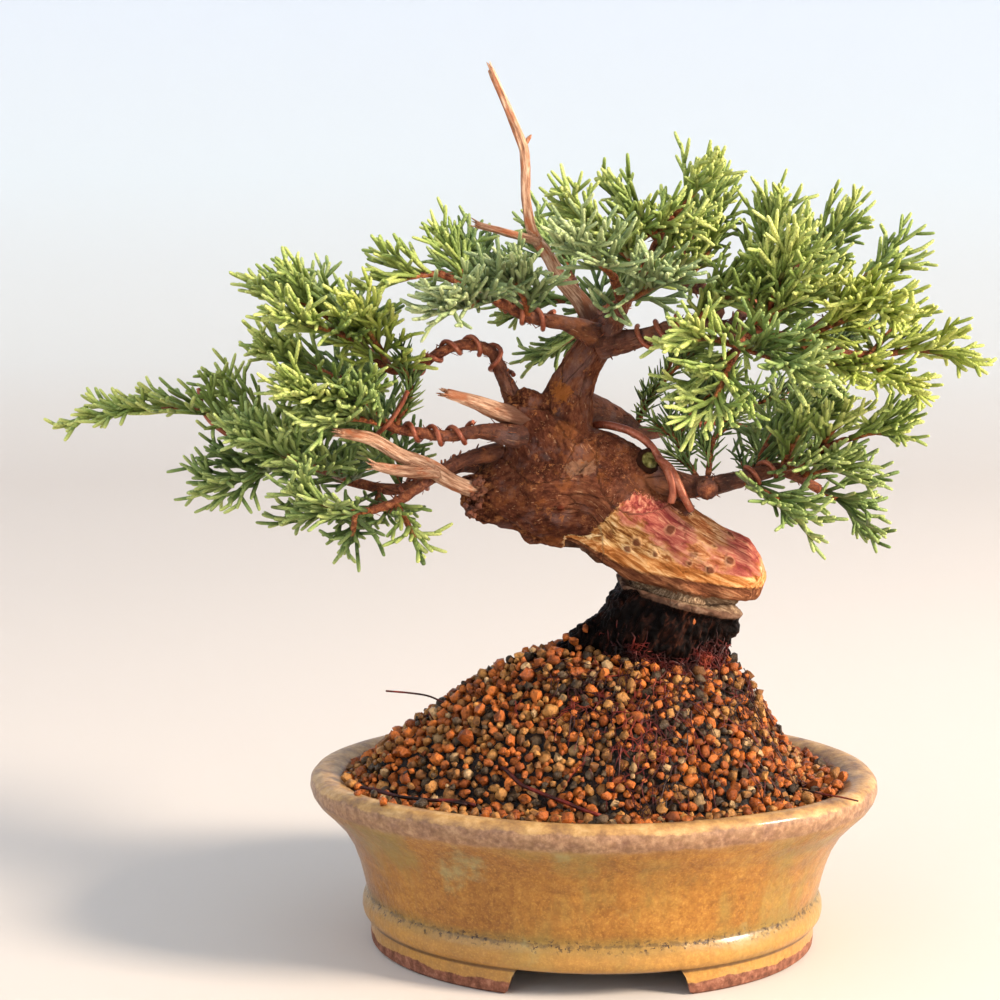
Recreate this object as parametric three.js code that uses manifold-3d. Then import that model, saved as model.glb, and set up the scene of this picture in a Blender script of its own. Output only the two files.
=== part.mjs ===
// A small juniper bonsai in an oval stoneware pot, in millimetres, with +Z up.
// The pot stands on two C-shaped feet. Its wall, soil, drain screen and tree are laid out from the
// pot's centre, and the whole group is moved at the end so that the middle of its footprint is the origin.
// The leafy shoots are a coarse stand of true-size branchlets on slim stems, one solid for each shoot.
import * as THREE from "three";
import { mergeVertices } from "three/addons/utils/BufferGeometryUtils.js";
import Module from "manifold-3d";

const wasm = await Module();
wasm.setup();

// ---------- driving dimensions, mm ----------
const GAP = 0.3; // between neighbouring solids
const SIDES = { pot: 32, drain: 18, stump: 14, bole: 12, root: 5, branch: 5, jin: 4, coil: 4, guide: 6 };
const POT = {
  rim: 82.5, // half length at the lip
  depthShare: 0.845, // width over length
  height: 50.2,
  floorUnder: 7.5, // height of the feet, and of the floor's underside
  floorTop: 12,
  footIn: 54,
  footSlant: 2.5,
  footOut: 64.8,
  gapLow: 25.4, // half width of the gap between the feet, at the table
  gapHigh: 22.5, // and where it meets the floor
  drain: 10, // radius of the drain hole
};
const SCREEN = { side: 27, thick: 1.2, bars: 4, bar: 2 };
const SOIL = { edge: 47.8, rise: 38.5, middleX: 16, left: 86, right: 46, deep: 48, grain: 1.5, rings: 15 };
const NEEDLE = { radius: 0.8, stem: 1, length: 5.4, pitch: 6.4, foot: 1.4, clear: 0.22 };

const GREENS = [0x4f7a2c, 0x6c9637, 0x89ab45, 0x5d8548];
const FINISH = {
  glaze: new THREE.MeshStandardMaterial({ color: 0xbd8741, roughness: 0.35, metalness: 0 }),
  screen: new THREE.MeshStandardMaterial({ color: 0x1d2320, roughness: 0.6, metalness: 0 }),
  soil: new THREE.MeshStandardMaterial({ color: 0x93572d, roughness: 0.95, metalness: 0 }),
  bark: new THREE.MeshStandardMaterial({ color: 0x7c4a33, roughness: 0.85, metalness: 0 }),
  copper: new THREE.MeshStandardMaterial({ color: 0x6e3b26, roughness: 0.45, metalness: 0.6 }),
};
const greenFinishes = GREENS.map(
  (color) => new THREE.MeshStandardMaterial({ color, roughness: 0.7, metalness: 0 }),
);

// ---------- solids ----------
function solidOf(geometry) {
  const plain = geometry.clone();
  plain.deleteAttribute("normal");
  plain.deleteAttribute("uv");
  const merged = mergeVertices(plain, 1e-4);
  return new wasm.Manifold(
    new wasm.Mesh({
      numProp: 3,
      vertProperties: merged.attributes.position.array,
      triVerts: new Uint32Array(merged.index.array),
    }),
  );
}

function meshOf(name, solid, material) {
  const made = solid.getMesh();
  const geometry = new THREE.BufferGeometry();
  geometry.setAttribute("position", new THREE.BufferAttribute(made.vertProperties.slice(), 3));
  geometry.setIndex(new THREE.BufferAttribute(made.triVerts.slice(), 1));
  geometry.computeVertexNormals();
  const mesh = new THREE.Mesh(geometry, material);
  mesh.name = name;
  return mesh;
}

// A closed skin through rings of points, each ring with as many points, and flat at both ends.
function skinOf(rings) {
  const sides = rings[0].length;
  const index = [];
  for (let k = 0; k + 1 < rings.length; k++) {
    for (let i = 0; i < sides; i++) {
      const next = (i + 1) % sides;
      const a = k * sides + i;
      const b = k * sides + next;
      index.push(a, b, b + sides, a, b + sides, a + sides);
    }
  }
  const last = (rings.length - 1) * sides;
  for (let i = 1; i + 1 < sides; i++) {
    index.push(0, i + 1, i, last, last + i, last + i + 1);
  }
  const geometry = new THREE.BufferGeometry();
  const flat = rings.flat().flatMap((p) => [p.x, p.y, p.z]);
  geometry.setAttribute("position", new THREE.Float32BufferAttribute(flat, 3));
  geometry.setIndex(index);
  return geometry;
}

// The stations of a limb: its path is a list of [x, y, z, radius], smoothed, with a few steps a span.
function stationsOf(path, steps, more = 0) {
  const curve = new THREE.CatmullRomCurve3(path.map(([x, y, z]) => new THREE.Vector3(x, y, z)));
  const spans = path.length - 1;
  const stations = [];
  let normal = null;
  for (let k = 0; k <= spans * steps; k++) {
    const t = k / (spans * steps);
    const at = curve.getPoint(t);
    const tangent = curve.getTangent(t);
    if (!normal) {
      normal = Math.abs(tangent.z) < 0.9 ? new THREE.Vector3(0, 0, 1) : new THREE.Vector3(1, 0, 0);
    }
    normal = normal.clone().addScaledVector(tangent, -normal.dot(tangent)).normalize();
    const side = new THREE.Vector3().crossVectors(tangent, normal);
    const span = Math.min(Math.floor(k / steps), spans - 1);
    const share = k / steps - span;
    const radius = THREE.MathUtils.lerp(path[span][3], path[span + 1][3], share) + more;
    stations.push({ at, tangent, normal, side, radius, t });
  }
  return stations;
}

// A tapered limb. The shape, if given, swells or hollows the section at an angle and a share of its length.
// With more, it is that much larger all over.
function limb(path, sides, steps, { more = 0, shape = () => 1 } = {}) {
  const stations = stationsOf(path, steps, more);
  stations[0].at.addScaledVector(stations[0].tangent, -more);
  stations.at(-1).at.addScaledVector(stations.at(-1).tangent, more);
  const rings = stations.map(({ at, normal, side, radius, t }) =>
    Array.from({ length: sides }, (_, i) => {
      const angle = (2 * Math.PI * i) / sides;
      const reach = radius * shape(angle, t);
      return at
        .clone()
        .addScaledVector(normal, reach * Math.cos(angle))
        .addScaledVector(side, reach * Math.sin(angle));
    }),
  );
  return solidOf(skinOf(rings));
}

// ---------- pot: a turned profile drawn out to an oval, the foot ring cut through twice ----------
function ovalTurning(profile) {
  const geometry = new THREE.LatheGeometry(
    profile.map(([r, z]) => new THREE.Vector2(r, z)),
    SIDES.pot,
  );
  geometry.rotateX(Math.PI / 2);
  geometry.scale(1, POT.depthShare, 1);
  return geometry;
}

const INNER_WALL = [
  [57, POT.floorTop],
  [61, 16],
  [63.2, 25],
  [66.2, 33],
  [70.6, 42],
  [72, 47.6],
];

function makePot() {
  const outer = [
    [0, POT.floorUnder],
    [POT.footIn, POT.floorUnder],
    [POT.footIn + POT.footSlant, 0],
    [POT.footOut, 0],
    [POT.footOut, POT.floorUnder],
    [65.5, POT.floorUnder],
    [67, 11],
    [66.9, 14],
    [65.7, 16],
    [66.8, 20],
    [68.4, 25],
    [70.4, 30],
    [73.6, 35],
    [78.2, 39.6],
    [81.6, 43.6],
    [POT.rim, 46.8],
    [81.4, 49.4],
    [79, POT.height],
    [75.6, 49.8],
  ];
  const profile = [...outer, ...INNER_WALL.slice().reverse(), [0, POT.floorTop]];
  const body = solidOf(ovalTurning(profile));
  const reach = POT.rim;
  const cut = new THREE.Shape([
    new THREE.Vector2(-POT.gapLow, -1),
    new THREE.Vector2(POT.gapLow, -1),
    new THREE.Vector2(POT.gapLow, 0),
    new THREE.Vector2(POT.gapHigh, POT.floorUnder),
    new THREE.Vector2(-POT.gapHigh, POT.floorUnder),
    new THREE.Vector2(-POT.gapLow, 0),
  ]);
  const channel = new THREE.ExtrudeGeometry(cut, { depth: 2 * reach, bevelEnabled: false });
  channel.rotateX(Math.PI / 2);
  channel.translate(0, reach, 0);
  const drain = new THREE.CylinderGeometry(POT.drain, POT.drain, 3 * POT.floorTop, SIDES.drain);
  drain.rotateX(Math.PI / 2);
  return body.subtract(solidOf(channel)).subtract(solidOf(drain));
}

// ---------- drain screen: a square of plastic mesh over the hole ----------
function makeScreen() {
  const pitch = (SCREEN.side - SCREEN.bar) / (SCREEN.bars - 1);
  const middle = POT.floorTop + GAP + SCREEN.thick / 2;
  const plate = new THREE.BoxGeometry(SCREEN.side, SCREEN.side, SCREEN.thick);
  plate.translate(0, 0, middle);
  const holes = [];
  for (let i = 0; i < SCREEN.bars - 1; i++) {
    for (let j = 0; j < SCREEN.bars - 1; j++) {
      const hole = new THREE.BoxGeometry(pitch - SCREEN.bar, pitch - SCREEN.bar, 2 * SCREEN.thick);
      hole.translate((i - SCREEN.bars / 2 + 1) * pitch, (j - SCREEN.bars / 2 + 1) * pitch, middle);
      holes.push(solidOf(hole));
    }
  }
  return solidOf(plate).subtract(wasm.Manifold.union(holes));
}

// ---------- random draws, the same each run ----------
function drawsFrom(seed) {
  let state = seed;
  return () => {
    state = (state * 16807) % 2147483647;
    return state / 2147483647;
  };
}

// ---------- soil: fills the pot and climbs to the trunk in a steep mound of grains ----------
// Every other point of its top stands up as a lump of grains, and the ones between are sunk.
function moundHeight(x, y) {
  const dx = x - SOIL.middleX;
  const foot = new THREE.Vector2(dx / (dx < 0 ? SOIL.left : SOIL.right), y / SOIL.deep).length();
  const fall = THREE.MathUtils.clamp((foot - 0.2) / 0.8, 0, 1);
  return SOIL.edge + SOIL.rise * (1 - fall ** 1.6);
}

function makeSoil(treeHole) {
  const draw = drawsFrom(71);
  const wall = INNER_WALL.map(([r, z]) => [r - GAP / POT.depthShare - 0.05, z]);
  wall[0][1] += GAP;
  const [edgeRadius] = wall.at(-1);
  const ringAt = (radius, z, lift) =>
    Array.from({ length: SIDES.pot }, (_, i) => {
      const angle = (2 * Math.PI * i) / SIDES.pot;
      const across = radius * POT.depthShare;
      const p = new THREE.Vector3(radius * Math.cos(angle), across * Math.sin(angle), z);
      if (lift) lift(p, angle, i);
      return p;
    });
  const rings = wall.map(([r, z]) => ringAt(r, z));
  const pitch = edgeRadius / (SOIL.rings + 0.5);
  for (let k = 1; k <= SOIL.rings; k++) {
    rings.push(
      ringAt(edgeRadius - k * pitch, 0, (p, angle, i) => {
        const slip = (draw() - 0.5) * pitch * 0.5;
        p.x += slip * Math.cos(angle);
        p.y += slip * Math.sin(angle);
        const crest = (i + k) % 2 ? 1 : -1;
        p.z = moundHeight(p.x, p.y) + SOIL.grain * (crest + draw() - 0.5);
      }),
    );
  }
  const pocket = new THREE.BoxGeometry(SCREEN.side + 2 * GAP, SCREEN.side + 2 * GAP, 4);
  pocket.translate(0, 0, POT.floorTop + GAP + SCREEN.thick + GAP - 2);
  return solidOf(skinOf(rings)).subtract(treeHole).subtract(solidOf(pocket));
}

// ---------- wood: each limb is a list of [x, y, z, radius] from its root to its end ----------
const TRUNK = {
  stump: [
    [18, 5, 62, 14], [18, 5, 75, 18], [19, 4, 84, 20], [21, 2, 92, 19.6], [26, 0, 100, 17],
    [29, -1, 107, 13],
  ],
  bole: [
    [47, -2, 103, 4], [44, -2, 105, 8.8], [39, -3, 107.5, 11.8], [29, -3, 112, 12.8],
    [20, -2, 117, 13.4], [10, 0, 124, 15.2], [1, 1, 132, 16], [-11, 2, 134, 15.8],
    [-21, 2, 132, 14.4], [-28, 0, 131, 10], [-33, -2, 131, 6.5], [-37, -3, 132, 4],
  ],
  neck: [
    [-8, 2, 138, 14], [-12, 2, 146, 12.6], [-9, 2, 154, 10], [-7, 2, 160, 8.6], [-3, 2, 167, 7.3],
    [1, 2, 174, 6.4], [4, 2, 179, 5],
  ],
  stub: [[-16, -1, 145, 9], [-21, -2, 154, 6.4], [-22, -2, 159, 4.4]],
};
const ROOTS = [
  [
    [14, 3, 98, 7], [3, 1, 91, 6], [-6, -1, 85, 5], [-16, -4, 75, 3.8], [-28, -8, 60, 2.2],
    [-36, -11, 46, 1.2],
  ],
  [[18, 5, 74, 9], [32, 12, 62, 5.4], [42, 18, 48, 3], [46, 22, 34, 1.5]],
  [[18, 5, 74, 9], [13, 22, 60, 5], [6, 34, 46, 2.8], [0, 40, 34, 1.4]],
  [[18, 5, 74, 9], [24, -14, 62, 5], [28, -26, 48, 2.8], [30, -32, 34, 1.4]],
];
const LIMBS = {
  leftArch: [
    [-23, -2, 157, 3.2], [-26, -3, 164, 2.2], [-30, -5, 172, 1.8], [-37, -8, 174, 1.6],
    [-44, -10, 172, 1.5], [-50, -10, 168, 1.4], [-58, -9, 167, 1.3], [-65, -8, 173, 1.2],
    [-72, -7, 179, 1.1],
  ],
  leftMiddle: [
    [-21, -6, 148, 4], [-33, -13, 150, 2.1], [-41, -16, 149, 1.8], [-49, -18, 150, 1.6],
    [-58, -18, 152, 1.4], [-66, -16, 159, 1.2], [-73, -15, 165, 1.1],
  ],
  leftLow: [
    [-30, -6, 133, 3], [-42, -16, 137, 1.9], [-49, -20, 135, 1.6], [-56, -22, 131, 1.4],
    [-63, -23, 129, 1.2],
  ],
  leftLong: [
    [-25, 5, 138, 4.5], [-38, 11, 138, 2.4], [-48, 11, 134, 2], [-56, 8, 131, 1.8],
    [-71, 4, 134, 1.5], [-85, 2, 139, 1.3], [-96, 1, 144, 1.1],
  ],
  crownLeft: [
    [1, -2, 176, 4], [-9, -8, 180, 2.2], [-19, -12, 182, 1.8], [-29, -14, 187, 1.5],
    [-37, -15, 191, 1.2], [-44, -16, 194, 1],
  ],
  crownUp: [
    [3, 2, 178, 4], [8, -1, 186, 2.2], [13, -5, 195, 1.7], [17, -7, 203, 1.3], [21, -7, 210, 1],
  ],
  crownBack: [[2, 6, 176, 4], [0, 20, 182, 2.2], [-4, 34, 185, 1.7], [-5, 46, 191, 1.2]],
  crownFront: [[4, -3, 177, 3.4], [6, -20, 186, 1.7], [3, -32, 194, 1.2]],
  rightLong: [
    [2, -2, 174, 4.6], [12, -9, 176, 2.8], [25, -15, 180, 2.3], [39, -19, 179, 1.9],
    [55, -19, 176, 1.6], [70, -17, 172, 1.3], [80, -15, 172, 1.1],
  ],
  rightCurl: [
    [25, -15, 180, 2.3], [33, -12, 183, 2.2], [31, -4, 189, 2], [25, 6, 191, 1.6],
    [25, 12, 197, 1.2],
  ],
  rightFront: [[39, -19, 179, 1.9], [37, -34, 175, 1.4], [33, -48, 171, 1.1]],
  rightInner: [[36, -18, 179, 1.9], [45, 2, 186, 1.6], [56, 20, 192, 1.2]],
  rightOuter: [[55, -19, 176, 1.6], [66, -10, 183, 1.3], [75, -2, 192, 1]],
  lowRight: [
    [14, -4, 136, 5.5], [29, -9, 134, 3.2], [41, -7, 136, 2.5], [53, -2, 138, 2], [65, 3, 132, 1.4],
  ],
  lowRightFork: [[53, -2, 138, 1.9], [62, -8, 144, 1.4], [71, -11, 148, 1]],
  lowRightStub: [[31, -8, 134, 3.4], [31, -15, 134, 3]],
  backRight: [
    [-6, 4, 157, 5], [8, 18, 151, 3], [15, 26, 146, 2.2], [27, 36, 147, 1.6], [40, 44, 148, 1.2],
  ],
};
const JINS = {
  leftJin: [
    [-31, -6, 132, 4], [-41, -13, 136, 3], [-47, -17, 140, 2.4], [-55, -21, 144, 1.9],
    [-63, -25, 149, 1.5], [-71, -28, 151, 0.7],
  ],
  leftJinFork: [[-46, -17, 139, 1.9], [-55, -24, 140, 1.4], [-62, -28, 142, 0.6]],
  shortJin: [[-22, -6, 154, 3.2], [-33, -13, 158, 1.9], [-42, -17, 161, 0.6]],
  topJin: [
    [1, 4, 176, 4.5], [-4, 6, 185, 2.7], [-10, 6, 192, 2], [-14, 5, 199, 1.8], [-18, 4, 205, 1.6],
    [-20, 2, 214, 1.3], [-21, 1, 228, 1.2], [-24, 0, 237, 1], [-30, 0, 251, 0.5],
  ],
  topJinFork: [[-17, 4, 203, 1.3], [-25, 0, 205, 1], [-34, -4, 207, 0.5]],
};

// The trunk swells and sinks along its length, as old juniper wood does.
const furrows = (angle, t) => 1 + 0.05 * Math.sin(5 * angle + 4 * t) + 0.03 * Math.sin(3 * angle - 7 * t);

function makeBase(more) {
  const parts = [limb(TRUNK.stump, SIDES.stump, 1, { more, shape: furrows })];
  for (const root of ROOTS) parts.push(limb(root, SIDES.root, 1, { more }));
  return wasm.Manifold.union(parts);
}

function makeTree() {
  const parts = [makeBase(0)];
  for (const name of ["bole", "neck", "stub"]) {
    parts.push(limb(TRUNK[name], SIDES.bole, 1, { shape: furrows }));
  }
  for (const path of Object.values(LIMBS)) parts.push(limb(path, SIDES.branch, 1));
  for (const path of Object.values(JINS)) parts.push(limb(path, SIDES.jin, 1));
  return wasm.Manifold.union(parts);
}

// ---------- room: what is already placed, as short rounded rods ----------
const placed = [];

function claim(owner, a, b, radius, leaf = false) {
  placed.push({ owner, a: a.clone(), b: b.clone(), radius, leaf });
}

function claimLimb(owner, path, steps) {
  const stations = stationsOf(path, steps);
  for (let k = 0; k + 1 < stations.length; k++) {
    const radius = Math.max(stations[k].radius, stations[k + 1].radius);
    claim(owner, stations[k].at, stations[k + 1].at, radius * 1.08);
  }
}

function rodDistance(p1, q1, p2, q2) {
  const d1 = q1.clone().sub(p1);
  const d2 = q2.clone().sub(p2);
  const r = p1.clone().sub(p2);
  const a = d1.lengthSq();
  const e = d2.lengthSq();
  const f = d2.dot(r);
  const c = d1.dot(r);
  const b = d1.dot(d2);
  const spread = a * e - b * b;
  let s = spread > 1e-9 ? THREE.MathUtils.clamp((b * f - c * e) / spread, 0, 1) : 0;
  let t = (b * s + f) / e;
  if (t < 0) {
    t = 0;
    s = THREE.MathUtils.clamp(-c / a, 0, 1);
  } else if (t > 1) {
    t = 1;
    s = THREE.MathUtils.clamp((b - c) / a, 0, 1);
  }
  return p1.clone().addScaledVector(d1, s).distanceTo(p2.clone().addScaledVector(d2, t));
}

// A rod is free if it keeps clear of every other node. Leaves of the same node only must not cross.
function isFree(owner, a, b, radius) {
  return placed.every((rod) => {
    const own = rod.owner === owner;
    if (own && !rod.leaf) return true;
    return rodDistance(a, b, rod.a, rod.b) > radius + rod.radius + (own ? -0.2 : NEEDLE.clear);
  });
}

// ---------- training wire: a coil round a bare stretch of a limb, or one strand along the trunk ----------
function coilPath(path, from, to, pitch, wire) {
  const stations = stationsOf(path, 12);
  const first = Math.round(from * (stations.length - 1));
  const last = Math.round(to * (stations.length - 1));
  let run = 0;
  for (let k = first; k < last; k++) run += stations[k].at.distanceTo(stations[k + 1].at);
  const stepsPerTurn = 6;
  const count = Math.round((run / pitch) * stepsPerTurn);
  const points = [];
  for (let i = 0; i <= count; i++) {
    const place = first + ((last - first) * i) / count;
    const k = Math.min(Math.floor(place), last - 1);
    const share = place - k;
    const { normal, side, radius } = stations[k];
    const reach = (radius + wire + GAP) / Math.cos(Math.PI / stepsPerTurn) + 0.12;
    const angle = (2 * Math.PI * i) / stepsPerTurn;
    const at = stations[k].at.clone().lerp(stations[k + 1].at, share);
    at.addScaledVector(normal, reach * Math.cos(angle)).addScaledVector(side, reach * Math.sin(angle));
    points.push([at.x, at.y, at.z, wire]);
  }
  return points;
}

const WIRES = {
  wire_left_arch: { limb: "leftArch", from: 0.13, to: 0.66, pitch: 7, wire: 0.8 },
  wire_left_middle: { limb: "leftMiddle", from: 0.2, to: 0.6, pitch: 6.5, wire: 0.8 },
  wire_left_long: { limb: "leftLong", from: 0.2, to: 0.52, pitch: 7, wire: 0.8 },
  wire_crown_left: { limb: "crownLeft", from: 0.26, to: 0.52, pitch: 6, wire: 0.8 },
  wire_right_long: { limb: "rightLong", from: 0.17, to: 0.32, pitch: 6, wire: 0.8 },
  wire_low_right: { limb: "lowRight", from: 0.55, to: 0.71, pitch: 6, wire: 0.8 },
};
const GUIDE_WIRE = [
  [1.6, 1.5, 150.6, 1.2], [5, 0, 150.4, 1.2], [10.3, -2.5, 149, 1.2], [14.9, -4.5, 146, 1.2],
  [18, -7, 141.8, 1.2], [20.3, -11.8, 138.2, 1.2], [21.6, -12.6, 133.5, 1.2], [21, -12.4, 130, 1.2],
];

// ---------- leafy shoots: a slim stem, sprays on alternate sides, branchlets on every spray ----------
// path: from a point on the wood to the shoot's tip. reach: length of its longest side spray.
// sprays: how many. fork: a second path that leaves the first. tone: which green.
const SHOOTS = {
  left_tip: {
    path: [[-96, 1, 144], [-111, -2, 154], [-127, -5, 155], [-140, -7, 154], [-151, -8, 151]],
    reach: 13,
    sprays: 7,
    tone: 1,
  },
  left_rise: {
    path: [[-85, 2, 139], [-94, 8, 148], [-103, 10, 157], [-108, 10, 162]],
    reach: 10,
    sprays: 4,
    tone: 1,
  },
  left_fall: {
    path: [[-85, 2, 139], [-95, -6, 138], [-104, -10, 135], [-110, -12, 137]],
    reach: 12,
    sprays: 4,
    tone: 0,
  },
  left_low_front: {
    path: [[-71, 4, 134], [-79, -16, 140], [-89, -28, 146], [-97, -34, 150]],
    reach: 14,
    sprays: 5,
    tone: 0,
  },
  left_low_back: {
    path: [[-71, 4, 134], [-80, 24, 137], [-93, 38, 140], [-103, 46, 142]],
    reach: 14,
    sprays: 5,
    tone: 0,
  },
  left_under: {
    path: [[-62, 6, 132], [-64, -2, 126], [-78, -4, 125], [-89, -6, 123]],
    reach: 11,
    sprays: 4,
    tone: 0,
  },
  left_over: {
    path: [[-56, 8, 131], [-62, 18, 141], [-72, 26, 147], [-84, 30, 150]],
    reach: 14,
    sprays: 5,
    tone: 0,
  },
  low_tip: {
    path: [[-63, -23, 129], [-70, -28, 129], [-77, -33, 133], [-84, -37, 136]],
    fork: [[-67, -26, 129], [-68, -19, 123], [-70, -17, 118]],
    reach: 10,
    sprays: 4,
    tone: 0,
  },
  low_hanging: {
    path: [[-56, -22, 131], [-52, -25, 125], [-48, -27, 116]],
    reach: 6,
    sprays: 3,
    tone: 1,
  },
  arch_tip: {
    path: [[-72, -7, 179], [-83, -9, 186], [-96, -10, 189]],
    reach: 13,
    sprays: 5,
    tone: 1,
  },
  arch_front: {
    path: [[-65, -8, 173], [-71, -26, 178], [-79, -36, 181], [-84, -42, 183]],
    reach: 12,
    sprays: 5,
    tone: 1,
  },
  arch_back: {
    path: [[-65, -8, 173], [-72, 14, 181], [-82, 28, 185], [-89, 34, 188]],
    reach: 12,
    sprays: 5,
    tone: 0,
  },
  arch_bright: {
    path: [[-58, -9, 167], [-62, -24, 177], [-68, -32, 185]],
    reach: 11,
    sprays: 4,
    tone: 2,
  },
  middle_tip: {
    path: [[-73, -15, 165], [-84, -17, 170], [-94, -19, 172]],
    reach: 12,
    sprays: 4,
    tone: 1,
  },
  middle_front: {
    path: [[-66, -16, 159], [-74, -34, 161], [-83, -46, 163]],
    reach: 13,
    sprays: 5,
    tone: 1,
  },
  middle_back: {
    path: [[-66, -16, 159], [-75, 6, 162], [-85, 22, 165]],
    reach: 13,
    sprays: 5,
    tone: 0,
  },
  middle_low: {
    path: [[-58, -18, 152], [-67, -30, 155], [-78, -38, 154]],
    reach: 12,
    sprays: 4,
    tone: 0,
  },
  middle_fan: {
    path: [[-56, -18, 152], [-52, -19, 161], [-54, -21, 169]],
    reach: 6,
    sprays: 3,
    tone: 0,
  },
  crown_left_tip: {
    path: [[-44, -16, 194], [-52, -18, 193], [-61, -20, 190]],
    reach: 10,
    sprays: 4,
    tone: 1,
  },
  crown_left_rise: {
    path: [[-37, -15, 191], [-39, -13, 198], [-44, -12, 204]],
    reach: 9,
    sprays: 4,
    tone: 1,
  },
  crown_left_front: {
    path: [[-29, -14, 187], [-35, -34, 186], [-43, -48, 185]],
    reach: 13,
    sprays: 5,
    tone: 3,
  },
  crown_left_back: {
    path: [[-29, -14, 187], [-33, 10, 193], [-39, 26, 198]],
    reach: 13,
    sprays: 5,
    tone: 0,
  },
  crown_left_middle: {
    path: [[-19, -12, 182], [-22, -24, 190], [-28, -32, 197]],
    reach: 12,
    sprays: 4,
    tone: 3,
  },
  crown_tip: {
    path: [[21, -7, 210], [27, -9, 217], [32, -11, 223]],
    reach: 10,
    sprays: 4,
    tone: 1,
  },
  crown_rise: {
    path: [[17, -7, 203], [9, -4, 212], [1, 0, 219]],
    reach: 10,
    sprays: 4,
    tone: 1,
  },
  crown_far: {
    path: [[13, -5, 195], [1, -14, 205], [-11, -18, 217]],
    fork: [[7, -9, 200], [16, -17, 206], [26, -22, 208]],
    reach: 11,
    sprays: 4,
    tone: 1,
  },
  crown_front_tip: {
    path: [[3, -32, 194], [-3, -42, 198], [-10, -50, 201]],
    reach: 12,
    sprays: 4,
    tone: 3,
  },
  crown_front_right: {
    path: [[6, -20, 186], [12, -36, 190], [17, -48, 194]],
    reach: 12,
    sprays: 4,
    tone: 3,
  },
  crown_back_tip: {
    path: [[-5, 46, 191], [-9, 54, 199], [-15, 58, 206]],
    reach: 12,
    sprays: 4,
    tone: 0,
  },
  crown_back_left: {
    path: [[-4, 34, 185], [-15, 44, 184], [-25, 50, 179]],
    reach: 12,
    sprays: 4,
    tone: 0,
  },
  crown_back_right: {
    path: [[0, 20, 182], [11, 38, 188], [23, 48, 195]],
    fork: [[4, 27, 184], [-6, 33, 174], [-17, 37, 166]],
    reach: 12,
    sprays: 4,
    tone: 0,
  },
  right_tip: {
    path: [[80, -15, 172], [91, -14, 173], [104, -14, 169]],
    reach: 11,
    sprays: 5,
    tone: 2,
  },
  right_low: {
    path: [[70, -17, 172], [76, -28, 168], [82, -34, 164]],
    fork: [[73, -22, 170], [82, -10, 178], [91, -6, 183]],
    reach: 11,
    sprays: 4,
    tone: 2,
  },
  right_outer_tip: {
    path: [[75, -2, 192], [81, 0, 196], [87, 2, 195]],
    reach: 10,
    sprays: 4,
    tone: 1,
  },
  right_outer_front: {
    path: [[66, -10, 183], [71, -26, 186], [79, -38, 183]],
    reach: 13,
    sprays: 5,
    tone: 2,
  },
  right_inner_tip: {
    path: [[56, 20, 192], [67, 28, 201], [76, 32, 210]],
    reach: 13,
    sprays: 5,
    tone: 1,
  },
  right_inner_rise: {
    path: [[45, 2, 186], [48, 4, 200], [51, 6, 214]],
    reach: 12,
    sprays: 4,
    tone: 1,
  },
  right_curl_tip: {
    path: [[25, 12, 197], [31, 16, 204], [37, 20, 213]],
    reach: 12,
    sprays: 4,
    tone: 1,
  },
  right_middle: {
    path: [[46, -19, 178], [47, -30, 190], [52, -36, 203]],
    reach: 14,
    sprays: 5,
    tone: 1,
  },
  right_front_tip: {
    path: [[33, -48, 171], [29, -56, 164], [25, -60, 158]],
    reach: 11,
    sprays: 4,
    tone: 1,
  },
  right_front_left: {
    path: [[37, -34, 175], [26, -50, 178], [16, -58, 176]],
    reach: 11,
    sprays: 4,
    tone: 1,
  },
  right_front_right: {
    path: [[37, -34, 175], [46, -50, 172], [54, -56, 167]],
    reach: 12,
    sprays: 4,
    tone: 0,
  },
  right_back: {
    path: [[62, -18, 174], [68, 6, 174], [79, 22, 176]],
    reach: 14,
    sprays: 5,
    tone: 0,
  },
  low_right_tip: {
    path: [[65, 3, 132], [72, 1, 128], [77, 0, 121]],
    reach: 11,
    sprays: 4,
    tone: 0,
  },
  low_right_rise: {
    path: [[71, -11, 148], [78, -13, 150], [83, -14, 149]],
    reach: 10,
    sprays: 4,
    tone: 1,
  },
  low_right_fall: {
    path: [[41, -7, 136], [52, -16, 130], [60, -20, 121]],
    reach: 10,
    sprays: 4,
    tone: 0,
  },
  low_right_back: {
    path: [[41, -7, 136], [53, 16, 142], [65, 30, 147]],
    reach: 14,
    sprays: 5,
    tone: 0,
  },
  back_right_tip: {
    path: [[40, 44, 148], [54, 50, 153], [67, 52, 154]],
    reach: 13,
    sprays: 5,
    tone: 0,
  },
};

const vec = ([x, y, z]) => new THREE.Vector3(x, y, z);
const UP = new THREE.Vector3(0, 0, 1);

// How far a branch's flat-sided skin stands out from its middle line, in a direction across it.
function skinReach({ normal, side, radius }, outward) {
  const half = Math.PI / SIDES.branch;
  const angle = Math.atan2(outward.dot(side), outward.dot(normal));
  const offFlat = THREE.MathUtils.euclideanModulo(angle, 2 * half) - half;
  return (radius * Math.cos(half)) / Math.cos(offFlat);
}

// The place on a limb's straight stretches that lies nearest to a point.
function nearestOn(path, point) {
  const stations = stationsOf(path, 1);
  const places = stations.slice(1).map((next, k) => {
    const last = stations[k];
    const stretch = new THREE.Line3(last.at, next.at);
    const share = stretch.closestPointToPointParameter(point, true);
    const at = stretch.at(share, new THREE.Vector3());
    const tangent = stretch.delta(new THREE.Vector3()).normalize();
    const radius = THREE.MathUtils.lerp(last.radius, next.radius, share);
    return { ...last, at, tangent, radius, off: at.distanceTo(point) };
  });
  return places.sort((a, b) => a.off - b.off)[0];
}

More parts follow.
